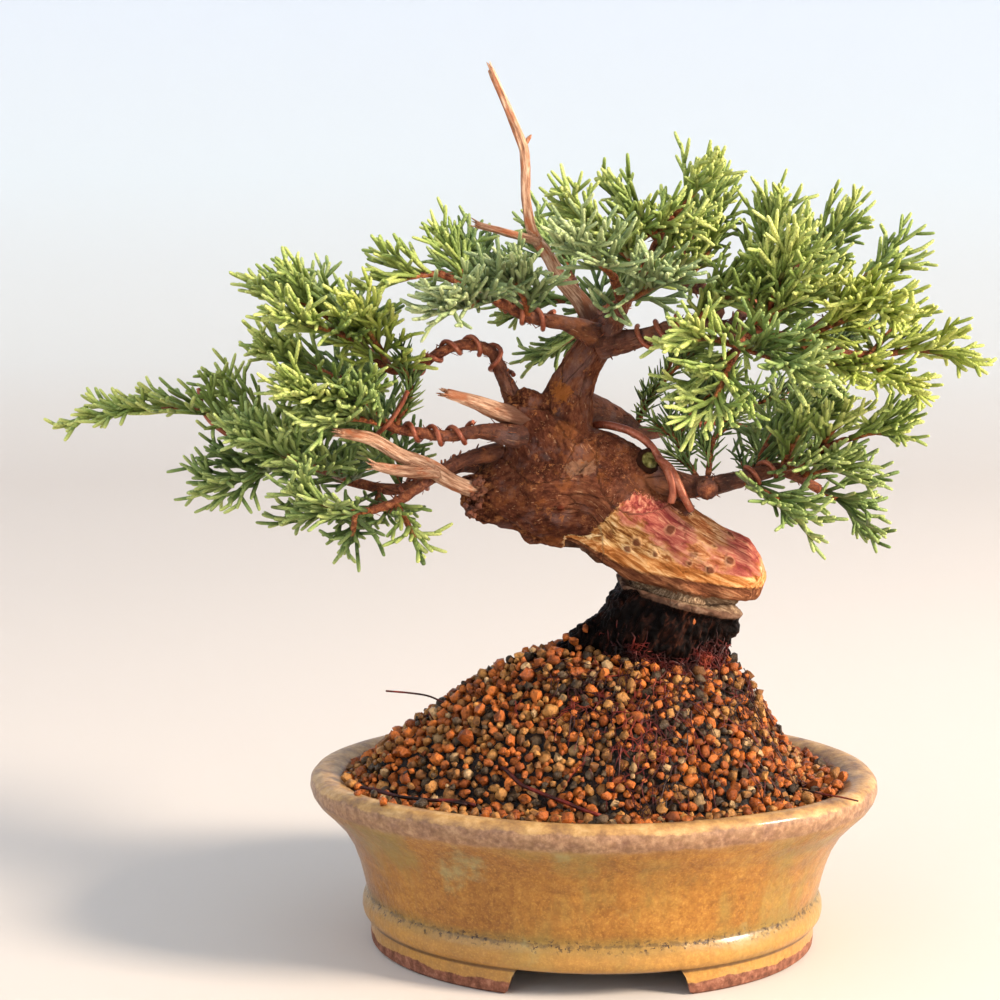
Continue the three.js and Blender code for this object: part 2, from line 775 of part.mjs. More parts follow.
// Where a shoot leaves the wood: just off the end or the side of the limb that its path starts on.
function shootStart(path, radius) {
  const root = vec(path[0]);
  const towards = vec(path[1]).sub(root).normalize();
  for (const limbPath of Object.values(LIMBS)) {
    const end = limbPath.at(-1);
    if (vec(end).distanceTo(root) < 0.1) {
      const [last] = stationsOf(limbPath, 1).slice(-1);
      const tilt = Math.sqrt(Math.max(0, 1 - last.tangent.dot(towards) ** 2));
      return root.addScaledVector(last.tangent, GAP + 0.05 + tilt * radius);
    }
  }
  for (const limbPath of Object.values(LIMBS)) {
    const station = nearestOn(limbPath, root);
    if (station.off < 1.5) {
      const along = station.tangent.dot(towards);
      const outward = towards.clone().addScaledVector(station.tangent, -along).normalize();
      const reach = skinReach(station, outward) + GAP + 0.1 + Math.abs(along) * radius;
      return station.at.addScaledVector(outward, reach);
    }
  }
  throw new Error(`no limb carries a shoot at ${path[0]}`);
}

// Bends a shoot's path in small steps until nothing that is placed crosses it.
function bentClear(owner, points, radius) {
  const lifts = [0, 1.5, -1.5, 3, -3, 4.5, -4.5, 6, -6];
  for (const dz of lifts) {
    for (const dy of lifts) {
      const tried = points.map((p, i) => {
        const share = i / (points.length - 1);
        return p.clone().add(new THREE.Vector3(0, dy * share, dz * share));
      });
      const curve = new THREE.CatmullRomCurve3(tried);
      const spots = curve.getPoints(12);
      const own = spots.slice(1);
      if (own.every((p, i) => i === 0 || isFree(owner, own[i - 1], p, radius))) return tried;
    }
  }
  return points;
}

// A leafy twig: a slim three-sided core, some of its faces drawn out into branchlets that lean forward.
// It starts flat, or as a point that is sunk in the stem that carries it, and ends in a point.
function leafyTwig(owner, points, { radius, tipRadius, needle, sunk, draw }) {
  const curve = new THREE.CatmullRomCurve3(points);
  const length = curve.getLength();
  const bare = sunk ? 1.8 : 2.6;
  const groups = Math.max(1, Math.round((length - bare - 1.5) / NEEDLE.pitch));
  const spots = [sunk ? NEEDLE.foot : 0];
  for (let g = 0; g < groups; g++) {
    const middle = bare + ((g + 0.4) * (length - bare - 1.5)) / groups;
    spots.push(middle - NEEDLE.foot / 2, middle + NEEDLE.foot / 2);
  }
  const turn = draw() * 0.8 - 0.4;
  const corners = [];
  const stations = spots.map((spot) => {
    const along = curve.getTangentAt(spot / length);
    const at = curve.getPointAt(spot / length);
    const across = new THREE.Vector3().crossVectors(UP, along).normalize();
    const upward = new THREE.Vector3().crossVectors(along, across);
    const reach = THREE.MathUtils.lerp(radius, tipRadius, spot / length);
    for (let j = 0; j < 3; j++) {
      const angle = turn + Math.PI / 2 + (j * 2 * Math.PI) / 3;
      const out = across.clone().multiplyScalar(Math.cos(angle)).addScaledVector(upward, Math.sin(angle));
      corners.push(at.clone().addScaledVector(out, reach));
    }
    return { at, along };
  });
  const index = [];
  const extra = [];
  const first = corners.length;
  for (let k = 0; k + 1 < stations.length; k++) {
    for (let j = 0; j < 3; j++) {
      const a = 3 * k + j;
      const b = 3 * k + ((j + 1) % 3);
      const c = b + 3;
      const d = a + 3;
      const middle = corners[a].clone().add(corners[b]).add(corners[c]).add(corners[d]).divideScalar(4);
      const out = middle.clone().sub(stations[k].at.clone().lerp(stations[k + 1].at, 0.5)).normalize();
      const lean = 0.85 + 0.35 * draw();
      const size = needle * (0.75 + 0.5 * draw()) * (1 - 0.3 * (k / stations.length));
      const way = stations[k].along.clone().multiplyScalar(lean).add(out).normalize();
      const tip = middle.clone().addScaledVector(way, size);
      const outer = middle.clone().addScaledVector(way, 1.2);
      if (k % 2 === 1 && isFree(owner, outer, tip, 0.6)) {
        const e = first + extra.length;
        extra.push(tip);
        claim(owner, outer, tip, 0.6, true);
        index.push(a, b, e, b, c, e, c, d, e, d, a, e);
      } else {
        index.push(a, b, c, a, c, d);
      }
    }
  }
  const end = first - 3;
  const apex = first + extra.length;
  extra.push(curve.getPoint(1));
  index.push(end, end + 1, apex, end + 1, end + 2, apex, end + 2, end, apex);
  if (sunk) {
    const root = first + extra.length;
    extra.push(points[0]);
    index.push(1, 0, root, 2, 1, root, 0, 2, root);
  } else {
    index.push(0, 2, 1);
  }
  claim(owner, points[0], curve.getPoint(0.5), radius);
  claim(owner, curve.getPoint(0.5), curve.getPoint(1), radius);
  const geometry = new THREE.BufferGeometry();
  const flat = [...corners, ...extra].flatMap((p) => [p.x, p.y, p.z]);
  geometry.setAttribute("position", new THREE.Float32BufferAttribute(flat, 3));
  geometry.setIndex(index);
  return solidOf(geometry);
}

function makeShoot(name, seed, { path, fork, reach, sprays }) {
  const draw = drawsFrom(seed);
  const parts = [];

  // A side spray leaves its stem at an acute angle, bends forward, and turns aside from what is in its way.
  const addSpray = (root, along, hand, size) => {
    const across = new THREE.Vector3().crossVectors(along, UP).normalize();
    for (const rise of [0.1 + 0.5 * draw(), 0.7, -0.2, 1.1, -0.6, 1.5, -1.1]) {
      const out = across.clone().multiplyScalar(hand * Math.cos(rise)).addScaledVector(UP, Math.sin(rise));
      const way = along.clone().multiplyScalar(0.75).addScaledVector(out, 0.75).normalize();
      const middle = root.clone().addScaledVector(way, size * 0.5);
      const tip = middle.clone().addScaledVector(way, size * 0.45).addScaledVector(along, size * 0.12);
      if (!isFree(name, root, tip, NEEDLE.radius)) continue;
      const shape = { radius: NEEDLE.radius, tipRadius: 0.5, needle: NEEDLE.length, sunk: true, draw };
      parts.push(leafyTwig(name, [root, middle, tip], shape));
      return;
    }
  };

  const addStem = (points, sunk, count) => {
    const shape = { radius: NEEDLE.stem, tipRadius: 0.6, needle: NEEDLE.length * 1.1, sunk, draw };
    parts.push(leafyTwig(name, points, shape));
    const curve = new THREE.CatmullRomCurve3(points);
    for (let i = 0; i < count; i++) {
      const t = (i + 0.55) / (count + 0.6);
      const hand = i % 2 ? 1 : -1;
      const fullness = 0.6 + 0.4 * Math.sin(Math.PI * Math.min(1, 0.25 + t * 0.85));
      addSpray(curve.getPoint(t), curve.getTangent(t), hand, reach * fullness * (0.85 + 0.3 * draw()));
    }
  };

  const start = shootStart(path, NEEDLE.stem);
  addStem(bentClear(name, [start, ...path.slice(1).map(vec)], NEEDLE.stem), false, sprays);
  if (fork) addStem(fork.map(vec), true, Math.round(sprays / 2));
  const whole = wasm.Manifold.union(parts);
  return whole.decompose().sort((a, b) => b.volume() - a.volume())[0];
}

// ---------- the whole ----------
const bonsai = new THREE.Group();
bonsai.name = "juniper_bonsai";

for (const [name, path] of Object.entries({ ...TRUNK, ...LIMBS, ...JINS })) {
  claimLimb("trunk", path, name in TRUNK ? 2 : 1);
}

bonsai.add(meshOf("pot", makePot(), FINISH.glaze));
bonsai.add(meshOf("drain_screen", makeScreen(), FINISH.screen));
bonsai.add(meshOf("soil", makeSoil(makeBase(GAP)), FINISH.soil));
bonsai.add(meshOf("trunk", makeTree(), FINISH.bark));

for (const [name, { limb: carrier, from, to, pitch, wire }] of Object.entries(WIRES)) {
  const coil = coilPath(LIMBS[carrier], from, to, pitch, wire);
  claimLimb(name, coil, 1);
  bonsai.add(meshOf(name, limb(coil, SIDES.coil, 1), FINISH.copper));
}
claimLimb("wire_guide", GUIDE_WIRE, 1);
bonsai.add(meshOf("wire_guide", limb(GUIDE_WIRE, SIDES.guide, 1), FINISH.copper));

Object.entries(SHOOTS).forEach(([name, shoot], i) => {
  const node = `foliage_${name}`;
  const seed = 101 + 37 * i;
  bonsai.add(meshOf(node, makeShoot(node, seed, shoot), greenFinishes[shoot.tone]));
});

const footprint = new THREE.Box3().setFromObject(bonsai);
const middle = footprint.getCenter(new THREE.Vector3());
bonsai.position.set(-middle.x, -middle.y, 0);

export default bonsai;
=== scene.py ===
import math
import random

import bpy
import numpy as np
from mathutils import Matrix, Vector, noise


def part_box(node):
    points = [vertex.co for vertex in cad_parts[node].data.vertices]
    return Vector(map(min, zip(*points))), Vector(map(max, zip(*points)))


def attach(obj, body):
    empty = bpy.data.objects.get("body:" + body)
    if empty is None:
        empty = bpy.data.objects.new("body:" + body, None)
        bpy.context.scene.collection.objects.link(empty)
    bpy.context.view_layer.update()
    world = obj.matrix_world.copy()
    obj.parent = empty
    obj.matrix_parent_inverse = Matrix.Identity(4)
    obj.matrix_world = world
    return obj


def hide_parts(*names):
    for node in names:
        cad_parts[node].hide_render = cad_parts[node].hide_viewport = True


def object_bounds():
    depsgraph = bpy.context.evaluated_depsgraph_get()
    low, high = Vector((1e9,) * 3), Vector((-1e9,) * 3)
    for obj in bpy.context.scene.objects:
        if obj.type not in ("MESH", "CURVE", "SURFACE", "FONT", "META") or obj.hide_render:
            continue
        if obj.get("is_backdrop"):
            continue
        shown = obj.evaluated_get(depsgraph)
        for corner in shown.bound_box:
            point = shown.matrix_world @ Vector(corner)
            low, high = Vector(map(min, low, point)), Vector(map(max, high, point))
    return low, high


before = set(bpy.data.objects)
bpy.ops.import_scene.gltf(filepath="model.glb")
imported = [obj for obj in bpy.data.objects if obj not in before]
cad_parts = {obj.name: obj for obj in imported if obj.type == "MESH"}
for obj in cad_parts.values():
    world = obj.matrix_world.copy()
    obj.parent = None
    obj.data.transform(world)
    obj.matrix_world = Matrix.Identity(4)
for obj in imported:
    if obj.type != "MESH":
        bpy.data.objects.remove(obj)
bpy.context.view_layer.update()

# ---------- camera ----------
# The tree is seen from its front, from 0.6 m away and a little above the lip of the pot.
# Every place below is in millimetres from the middle of the pot, on the table.
MM = 0.001
pot_low, pot_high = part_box("pot")
pot_middle = (pot_low + pot_high) / 2


def spot(x, y, z):
    """A place in millimetres from the pot's middle, as Blender's metres."""
    return Vector((pot_middle.x + x * MM, pot_middle.y + y * MM, z * MM))


EYE = (-25.4, -599, 205.1)
PITCH, YAW, ROLL = math.radians(7.24), math.radians(-0.17), math.radians(0.12)
photo_view = bpy.data.cameras.new("photo_view")
photo_view.sensor_width = 36
photo_view.lens = 75.6
photo_view.clip_start = 0.01
camera = bpy.data.objects.new("camera", photo_view)
level = Matrix.Rotation(-YAW, 4, "Z") @ Matrix.Rotation(math.pi / 2 - PITCH, 4, "X")
camera.matrix_world = Matrix.Translation(spot(*EYE)) @ level @ Matrix.Rotation(ROLL, 4, "Z")
bpy.context.collection.objects.link(camera)
bpy.context.scene.camera = camera

# ---------- pot ----------
# An oval pot of red-brown stoneware, turned and drawn out by hand, with a rolled lip and a low belt.
# The foot ring is cut through at the front and back, and the front of the lip is drawn in a little.
# An amber satin glaze runs down to just above the table, where the clay stays bare.
DRAIN_RADIUS = 10
FOOT_HEIGHT = 7.5
FOOT_GAP = 25.4
FOOT_GAP_SLANT = 2.9
POT_STEPS = 288
POT_DEPTH = 0.845
WALL_FOOT, WALL_TOP = 12, 46
FRONT_DRAW = 0.07
FRONT_LIFT = 1.0
FRONT_REACH = 60
GROOVE_HEIGHT = 7.3
SEAM_HEIGHT = 15.2
POT_LINE = [
    (DRAIN_RADIUS, FOOT_HEIGHT), (30, FOOT_HEIGHT), (53, FOOT_HEIGHT), (54, 7.2), (55.3, 3.5), (56.3, 0.6),
    (57.3, 0), (60.5, 0), (63.8, 0), (64.7, 0.7), (64.9, 2.4), (64.9, 4.4), (64.9, 6.4), (65.1, 7.2),
    (65.6, 7.7), (66.4, 8.4), (67, 9.4), (67.3, 10.8), (67.2, 12.4), (66.8, 13.8), (66.1, 14.9), (65.8, 15.5),
    (66, 16.4), (66.5, 18), (67.2, 21), (68.3, 25), (70.2, 30), (73.2, 35), (77.4, 39.3), (80.3, 42),
    (81.8, 44.2), (82.5, 46.4), (82.3, 48.2), (81.2, 49.5), (79.4, 50.2), (77.2, 50.2), (75, 49.6),
    (73.2, 48.6), (72, 47), (71.2, 44.5), (70.4, 41.5), (66.2, 33), (63.2, 25), (61, 16), (59.5, 13.2),
    (57, 12.1), (40, 12), (25, 12), (DRAIN_RADIUS, 12),
]


def smooth(value, low, high):
    """0 below low, 1 above high, with a soft step between."""
    share = np.clip((np.asarray(value, float) - low) / (high - low), 0, 1)
    return share * share * (3 - 2 * share)


def drawn_in(y, z):
    """How deep a place lies once the front of the lip has been drawn in by the potter's hand."""
    return y * (1 - FRONT_DRAW * smooth(z, WALL_FOOT, WALL_TOP) * smooth(-y, 0, FRONT_REACH))


def alone(piece):
    """Selects one object and nothing else."""
    bpy.ops.object.select_all(action="DESELECT")
    piece.select_set(True)
    bpy.context.view_layer.objects.active = piece


def piece_of(name, points, faces, edges=()):
    """A new object of the points given, in metres."""
    mesh = bpy.data.meshes.new(name)
    mesh.from_pydata([tuple(p) for p in points], list(edges), list(faces))
    piece = bpy.data.objects.new(name, mesh)
    bpy.context.collection.objects.link(piece)
    return piece


def places_of(mesh):
    """A mesh's points in millimetres from the pot's middle."""
    flat = np.empty(3 * len(mesh.vertices))
    mesh.vertices.foreach_get("co", flat)
    return (flat.reshape(-1, 3) - np.array(spot(0, 0, 0))) / MM


def in_metres(places):
    """Places in millimetres from the pot's middle, as Blender's metres."""
    return places * MM + np.array(spot(0, 0, 0))


def put_places(mesh, places):
    """Moves a mesh's points to places in millimetres from the pot's middle."""
    mesh.vertices.foreach_set("co", in_metres(places).ravel())
    mesh.update()


def finish_mesh(piece, degrees):
    """Closes seams, turns faces outward and shades the piece smooth up to an angle."""
    alone(piece)
    bpy.ops.object.mode_set(mode="EDIT")
    bpy.ops.mesh.select_all(action="SELECT")
    bpy.ops.mesh.remove_doubles(threshold=0.00001)
    bpy.ops.mesh.normals_make_consistent(inside=False)
    bpy.ops.object.mode_set(mode="OBJECT")
    bpy.ops.object.shade_smooth_by_angle(angle=math.radians(degrees))


def put(tree, kind, inputs=(), **settings):
    """Adds a node, makes its settings, and fills or links its inputs."""
    node = tree.nodes.new(kind)
    for name, value in settings.items():
        setattr(node, name, value)
    for name, value in dict(inputs).items():
        if isinstance(value, bpy.types.NodeSocket):
            tree.links.new(value, node.inputs[name])
        else:
            node.inputs[name].default_value = value
    return node


def tint(code):
    """A colour as #RRGGBB on screen, as Blender's linear red, green, blue and alpha."""
    parts = [int(code[i : i + 2], 16) / 255 for i in (1, 3, 5)]
    return (*[c / 12.92 if c < 0.04045 else ((c + 0.055) / 1.055) ** 2.4 for c in parts], 1)


def new_finish(name, **values):
    """A material with one Principled shader, whose plain values are set on its own sockets."""
    finish = bpy.data.materials.new(name)
    finish.use_nodes = True
    shader = finish.node_tree.nodes["Principled BSDF"]
    for socket, value in values.items():
        shader.inputs[socket.replace("_", " ")].default_value = value
    return finish, finish.node_tree, shader


def surface_place(tree):
    """Where a point of the surface is, in metres."""
    return put(tree, "ShaderNodeTexCoord").outputs["Object"]


def parts_of(tree, vector):
    """The three numbers of a place or of stored values, as X, Y and Z."""
    return put(tree, "ShaderNodeSeparateXYZ", {"Vector": vector}).outputs


def stretched(tree, vector, scale=(1, 1, 1), shift=(0, 0, 0)):
    """Places scaled and shifted, so that a pattern runs longer one way or falls elsewhere."""
    return put(tree, "ShaderNodeMapping", {"Vector": vector, "Scale": scale, "Location": shift}).outputs[0]


def calc(tree, operation, a, b=0.0, clamp=False):
    """One step of arithmetic on numbers."""
    return put(tree, "ShaderNodeMath", {0: a, 1: b}, operation=operation, use_clamp=clamp).outputs[0]


def times(tree, a, b):
    """Two numbers multiplied."""
    return calc(tree, "MULTIPLY", a, b)


def plus(tree, a, b):
    """Two numbers added."""
    return calc(tree, "ADD", a, b)


def minus(tree, a, b):
    """The second number taken from the first."""
    return calc(tree, "SUBTRACT", a, b)


def swing(tree, value, strength):
    """Soft spots as a swing round zero, of a strength."""
    return times(tree, minus(tree, value, 0.5), strength)


def gap_to(tree, value, level):
    """How far a value is from a level, either way."""
    return calc(tree, "ABSOLUTE", minus(tree, value, level))


def between(tree, value, low, high):
    """0 where the value is below low, 1 above high, with a soft step between."""
    inputs = {"Value": value, "From Min": low, "From Max": high}
    return put(tree, "ShaderNodeMapRange", inputs, interpolation_type="SMOOTHSTEP").outputs[0]


def mottle(tree, vector, scale, detail=3.0, roughness=0.55, distortion=0.0):
    """Soft random spots, from 0 to 1."""
    inputs = {"Vector": vector, "Scale": scale, "Detail": detail, "Roughness": roughness}
    inputs["Distortion"] = distortion
    return put(tree, "ShaderNodeTexNoise", inputs).outputs["Fac"]


def blend(tree, share, under, over):
    """Lays one colour over another by a share."""
    node = put(tree, "ShaderNodeMix", data_type="RGBA", clamp_factor=True)
    for index, value in ((0, share), (6, under), (7, over)):
        if isinstance(value, bpy.types.NodeSocket):
            tree.links.new(value, node.inputs[index])
        else:
            node.inputs[index].default_value = tint(value) if isinstance(value, str) else value
    return node.outputs[2]


def wash(tree, under, over, mask, strength):
    """Lays a colour over another where a mask shows, at most by a strength."""
    return blend(tree, times(tree, mask, strength), under, over)


def colours(tree, value, *stops):
    """A run of colours along a value: each stop is a place from 0 to 1 and a colour."""
    node = put(tree, "ShaderNodeValToRGB", {"Fac": value})
    ramp = node.color_ramp
    while len(ramp.elements) < len(stops):
        ramp.elements.new(0.5)
    for element, (place, code) in zip(ramp.elements, stops):
        element.position = place
        element.color = tint(code)
    return node.outputs["Color"]


def relief(tree, height, depth, normal=None):
    """A bump of a depth in metres, on top of another one if given."""
    inputs = {"Height": height, "Distance": depth, "Strength": 1.0}
    if normal:
        inputs["Normal"] = normal
    return put(tree, "ShaderNodeBump", inputs).outputs["Normal"]


line_points = [spot(r, 0, z) for r, z in POT_LINE]
line_edges = [(i, (i + 1) % len(POT_LINE)) for i in range(len(POT_LINE))]
pot = piece_of("pot_body", line_points, [], line_edges)
alone(pot)
bpy.ops.object.mode_set(mode="EDIT")
bpy.ops.mesh.select_all(action="SELECT")
bpy.ops.mesh.spin(steps=POT_STEPS, angle=2 * math.pi, center=spot(0, 0, 0), axis=(0, 0, 1))
bpy.ops.object.mode_set(mode="OBJECT")
finish_mesh(pot, degrees=40)

# The turned shape is drawn in to an oval, opened between the feet and left a little uneven by the hand.
shape = places_of(pot.data)
reach = np.hypot(shape[:, 0], shape[:, 1])
turn = np.arctan2(shape[:, 1], shape[:, 0])
shape[:, 1] *= 1 + (POT_DEPTH - 1) * smooth(reach, DRAIN_RADIUS + 2, 40)
foot_lift = FOOT_HEIGHT * smooth(FOOT_GAP - np.abs(shape[:, 0]), 0, FOOT_GAP_SLANT)
shape[:, 2] = np.maximum(shape[:, 2], foot_lift)
upper = smooth(shape[:, 2], WALL_FOOT, WALL_TOP)
shape[:, :2] *= (1 + 0.0022 * upper * np.sin(3 * turn + 1) + 0.0015 * upper * np.sin(7 * turn))[:, None]
shape[:, 2] += upper * (0.25 * np.sin(2 * turn + 0.6) + 0.12 * np.sin(5 * turn) - 0.2)
shape[:, 2] += upper * FRONT_LIFT * smooth(-shape[:, 1], 0, FRONT_REACH)
shape[:, 1] = drawn_in(shape[:, 1], shape[:, 2])
put_places(pot.data, shape)

glaze, tree, shader = new_finish("amber_glaze", Coat_Roughness=0.12, Specular_IOR_Level=0.32)
where = surface_place(tree)
height = parts_of(tree, where)["Z"]
clouds = mottle(tree, where, 26, 4, 0.6)
crystals = mottle(tree, where, 1500, 3, 0.7)
flecks = mottle(tree, where, 520, 4, 0.65)
drift = mottle(tree, stretched(tree, where, (1, 1, 0.55)), 38, 5, 0.6)
runs_down = mottle(tree, stretched(tree, where, (1, 1, 0.2)), 260, 3, 0.6)
pale_green = mottle(tree, stretched(tree, where, shift=(0.02, 0, 0.01)), 34, 5, 0.65)

# The wall is amber, with small crystals, olive drifts, darker runs and a paler belt.
wall_tone = plus(tree, times(tree, clouds, 0.5), times(tree, flecks, 0.5))
body = colours(tree, wall_tone, (0.34, "#6C4012"), (0.46, "#87561C"), (0.56, "#9B6826"), (0.68, "#B17F38"))
body = wash(tree, body, "#6A4414", between(tree, crystals, 0.54, 0.66), 0.22)
body = wash(tree, body, "#CE9C46", between(tree, crystals, 0.48, 0.36), 0.3)
body = wash(tree, body, "#85773C", between(tree, drift, 0.5, 0.68), 0.6)
body = wash(tree, body, "#8C5A1C", between(tree, runs_down, 0.52, 0.66), 0.35)
body = wash(tree, body, "#CDA45C", between(tree, height, 16.5 * MM, 13.5 * MM), 0.28)

# In the seam over the belt the glaze has pooled olive, with a thin dark line and open pits.
seam_gap = gap_to(tree, height, SEAM_HEIGHT * MM)
seam = between(tree, minus(tree, seam_gap, times(tree, drift, 3.5 * MM)), 2.2 * MM, -1.2 * MM)
body = wash(tree, body, "#7A6832", seam, 0.5)
thin_line = plus(tree, seam_gap, swing(tree, flecks, 4 * MM))
body = wash(tree, body, "#54401E", between(tree, thin_line, 0.6 * MM, 0.0), 0.6)
body = wash(tree, body, "#93986A", between(tree, pale_green, 0.58, 0.7), 0.5)
pit_zone = between(tree, minus(tree, seam_gap, times(tree, flecks, 4 * MM)), 0.8 * MM, -2 * MM)
pit = times(tree, between(tree, mottle(tree, where, 640, 4, 0.75), 0.55, 0.61), pit_zone)
body = blend(tree, pit, body, "#3A2612")

# The lip is paler, where the glaze has run thin, with a brown-purple band round its outer face: partly the
# glaze's own colour and partly painted shade on the lower side of the rolled lip.
lip_noise = mottle(tree, stretched(tree, where, (1, 1, 1.6)), 150, 6, 0.7)
lip_zone = between(tree, height, 41.5 * MM, 46.5 * MM)
lip = colours(tree, lip_noise, (0.32, "#70523A"), (0.44, "#947046"), (0.54, "#B08954"), (0.66, "#C8A470"))
body = wash(tree, body, lip, lip_zone, 0.85)
lip_height = plus(tree, height, swing(tree, lip_noise, 3.5 * MM))
over_wall = between(tree, lip_height, 43.2 * MM, 44.5 * MM)
under_crown = between(tree, lip_height, 49.2 * MM, 48.4 * MM)
# The band's colour is partly the glaze's own and partly painted shade on the lower side of the rolled lip.
lip_band_and_shade = colours(tree, flecks, (0.38, "#6A4838"), (0.52, "#876450"), (0.66, "#A88468"))
body = wash(tree, body, lip_band_and_shade, times(tree, over_wall, under_crown), 0.72)

# The groove under the belt is dark, and below the glaze's wavering edge the clay is bare.
groove = between(tree, gap_to(tree, height, GROOVE_HEIGHT * MM), 0.9 * MM, 0.3 * MM)
body = wash(tree, body, "#4A3018", groove, 0.8)
edge_line = plus(tree, 1.6 * MM, times(tree, mottle(tree, where, 90, 4, 0.7), 4.2 * MM))
bare = between(tree, minus(tree, height, edge_line), 0.2 * MM, -0.2 * MM)
clay = colours(tree, flecks, (0.35, "#5E3828"), (0.55, "#845440"), (0.7, "#A07058"))
tree.links.new(blend(tree, bare, body, clay), shader.inputs["Base Color"])
gloss = put(tree, "ShaderNodeMapRange", {"Value": crystals, "To Min": 0.26, "To Max": 0.46}).outputs[0]
dull_share = calc(tree, "MAXIMUM", bare, times(tree, lip_zone, 0.35))
tree.links.new(blend(tree, dull_share, gloss, (0.9, 0.9, 0.9, 1)), shader.inputs["Roughness"])
glassy = calc(tree, "SUBTRACT", 1.0, bare, clamp=True)
tree.links.new(times(tree, glassy, 0.26), shader.inputs["Coat Weight"])
ripples = {"Vector": where, "Scale": 52, "Distortion": 3.0, "Detail": 2.0}
ripple = put(tree, "ShaderNodeTexWave", ripples, bands_direction="Z").outputs["Fac"]
waves = relief(tree, ripple, 0.16 * MM)
waves = relief(tree, mottle(tree, where, 110, 3), 0.9 * MM, waves)
waves = relief(tree, minus(tree, crystals, pit), 0.08 * MM, waves)
tree.links.new(waves, shader.inputs["Normal"])
pot.data.materials.append(glaze)
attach(pot, "root")
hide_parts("pot")

# ---------- drain screen ----------
# A square of dark moulded mesh lies over the drain hole and keeps the soil in.
# It is a grid whose bars are thickened on every side.
SCREEN_SIDE = 26
SCREEN_HOLES = 8
SCREEN_BAR = 1.1
SCREEN_LIFT = 12.9

bpy.ops.object.select_all(action="DESELECT")
bpy.ops.mesh.primitive_grid_add(
    x_subdivisions=SCREEN_HOLES,
    y_subdivisions=SCREEN_HOLES,
    size=SCREEN_SIDE * MM,
    location=spot(0, 0, SCREEN_LIFT),
)
screen = bpy.context.object
screen.name = "drain_mesh"
bpy.ops.object.transform_apply(location=True, rotation=True, scale=True)
bars = screen.modifiers.new("bars", "WIREFRAME")
bars.thickness = SCREEN_BAR * MM
bars.use_even_offset = True
bpy.ops.object.modifier_apply(modifier="bars")
finish_mesh(screen, degrees=30)
plastic, tree, shader = new_finish("dark_plastic", Roughness=0.5)
where = surface_place(tree)
scuffs = mottle(tree, where, 900, 4)
tree.links.new(colours(tree, scuffs, (0.35, "#101512"), (0.7, "#232B26")), shader.inputs["Base Color"])
tree.links.new(relief(tree, scuffs, 0.05 * MM), shader.inputs["Normal"])
screen.data.materials.append(plastic)
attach(screen, "root")
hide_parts("drain_screen")

# ---------- soil ----------
# Moist fired-clay grains, with some tan ones, dark lava and pale pumice, fill the pot and climb to the trunk.
# A dark packed bed, partly the colour of damp soil and partly painted shade in the gaps between the grains,
# carries layers of loose grains, and some lie on the slope of the lip.
SOIL_EDGE = 48.6
MOUND_RISE = 37.7
MOUND_MIDDLE = 16
MOUND_LEFT, MOUND_RIGHT, MOUND_DEEP = 86, 46, 48
# Swells of the mound: x, y, radius and rise.
MOUND_BUMPS = [(43, -2, 10, 5), (-24, -2, 15, 2), (-58, -6, 9, 2), (8, -30, 8, 1.5), (26, -36, 7, -2)]
BED_SINK = 2.6
BED_RADIUS = 71.6
BED_WALL = [(56.5, 12.5), (60.4, 16), (62.6, 25), (65.6, 33), (69.8, 41.5)]
BED_STEPS = 96
BED_RINGS = 26


def mound(x, y):
    """Height of the soil over the table, in millimetres."""
    dx = x - MOUND_MIDDLE
    foot = math.hypot(dx / (MOUND_LEFT if dx < 0 else MOUND_RIGHT), y / MOUND_DEEP)
    heap = 1 - min(max((foot - 0.2) / 0.8, 0), 1) ** 1.6
    uneven = 1.5 * noise.noise(Vector((x, y, 3)) * 0.085)
    bumps = 0
    for bump_x, bump_y, radius, rise in MOUND_BUMPS:
        bumps += rise * math.exp(-(((x - bump_x) ** 2 + (y - bump_y) ** 2) / radius**2))
    return SOIL_EDGE + MOUND_RISE * heap + uneven * min(1, 3 * heap) + bumps


bed_points = []
for radius, z in BED_WALL:
    for i in range(BED_STEPS):
        angle = 2 * math.pi * i / BED_STEPS
        y = drawn_in(radius * POT_DEPTH * math.sin(angle), z)
        bed_points.append(spot(radius * math.cos(angle), float(y), z))
for ring in range(BED_RINGS):
    radius = BED_RADIUS * (1 - ring / BED_RINGS)
    for i in range(BED_STEPS):
        angle = 2 * math.pi * i / BED_STEPS
        x, y = radius * math.cos(angle), float(drawn_in(radius * POT_DEPTH * math.sin(angle), SOIL_EDGE))
        rough = 1.1 * noise.noise(Vector((x, y, 0)) * 0.45)
        bed_points.append(spot(x, y, mound(x, y) - BED_SINK + rough))
rings = len(BED_WALL) + BED_RINGS
bed_points.append(spot(0, 0, mound(0, 0) - BED_SINK))
bed_faces = [tuple(range(BED_STEPS - 1, -1, -1))]
for k in range(rings - 1):
    for i in range(BED_STEPS):
        a, b = k * BED_STEPS + i, k * BED_STEPS + (i + 1) % BED_STEPS
        bed_faces.append((a, b, b + BED_STEPS, a + BED_STEPS))
top = (rings - 1) * BED_STEPS
bed_faces += [(top + i, top + (i + 1) % BED_STEPS, len(bed_points) - 1) for i in range(BED_STEPS)]
bed = piece_of("soil_bed", bed_points, bed_faces)
finish_mesh(bed, degrees=60)
packed, tree, shader = new_finish("packed_soil_and_shade", Roughness=0.8)
# Painted shade: the bed grows darker towards the cracks between its crumbs.
crumb_gaps = put(tree, "ShaderNodeTexVoronoi", {"Vector": surface_place(tree), "Scale": 620})
crumb_crack_shade = times(tree, crumb_gaps.outputs["Distance"], 1.4)
dark = colours(tree, crumb_crack_shade, (0.1, "#3A2012"), (0.5, "#24140C"), (0.9, "#0E0806"))
tree.links.new(dark, shader.inputs["Base Color"])
tree.links.new(relief(tree, minus(tree, 1.0, crumb_crack_shade), 1.2 * MM), shader.inputs["Normal"])
bed.data.materials.append(packed)
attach(bed, "root")
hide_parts("soil")


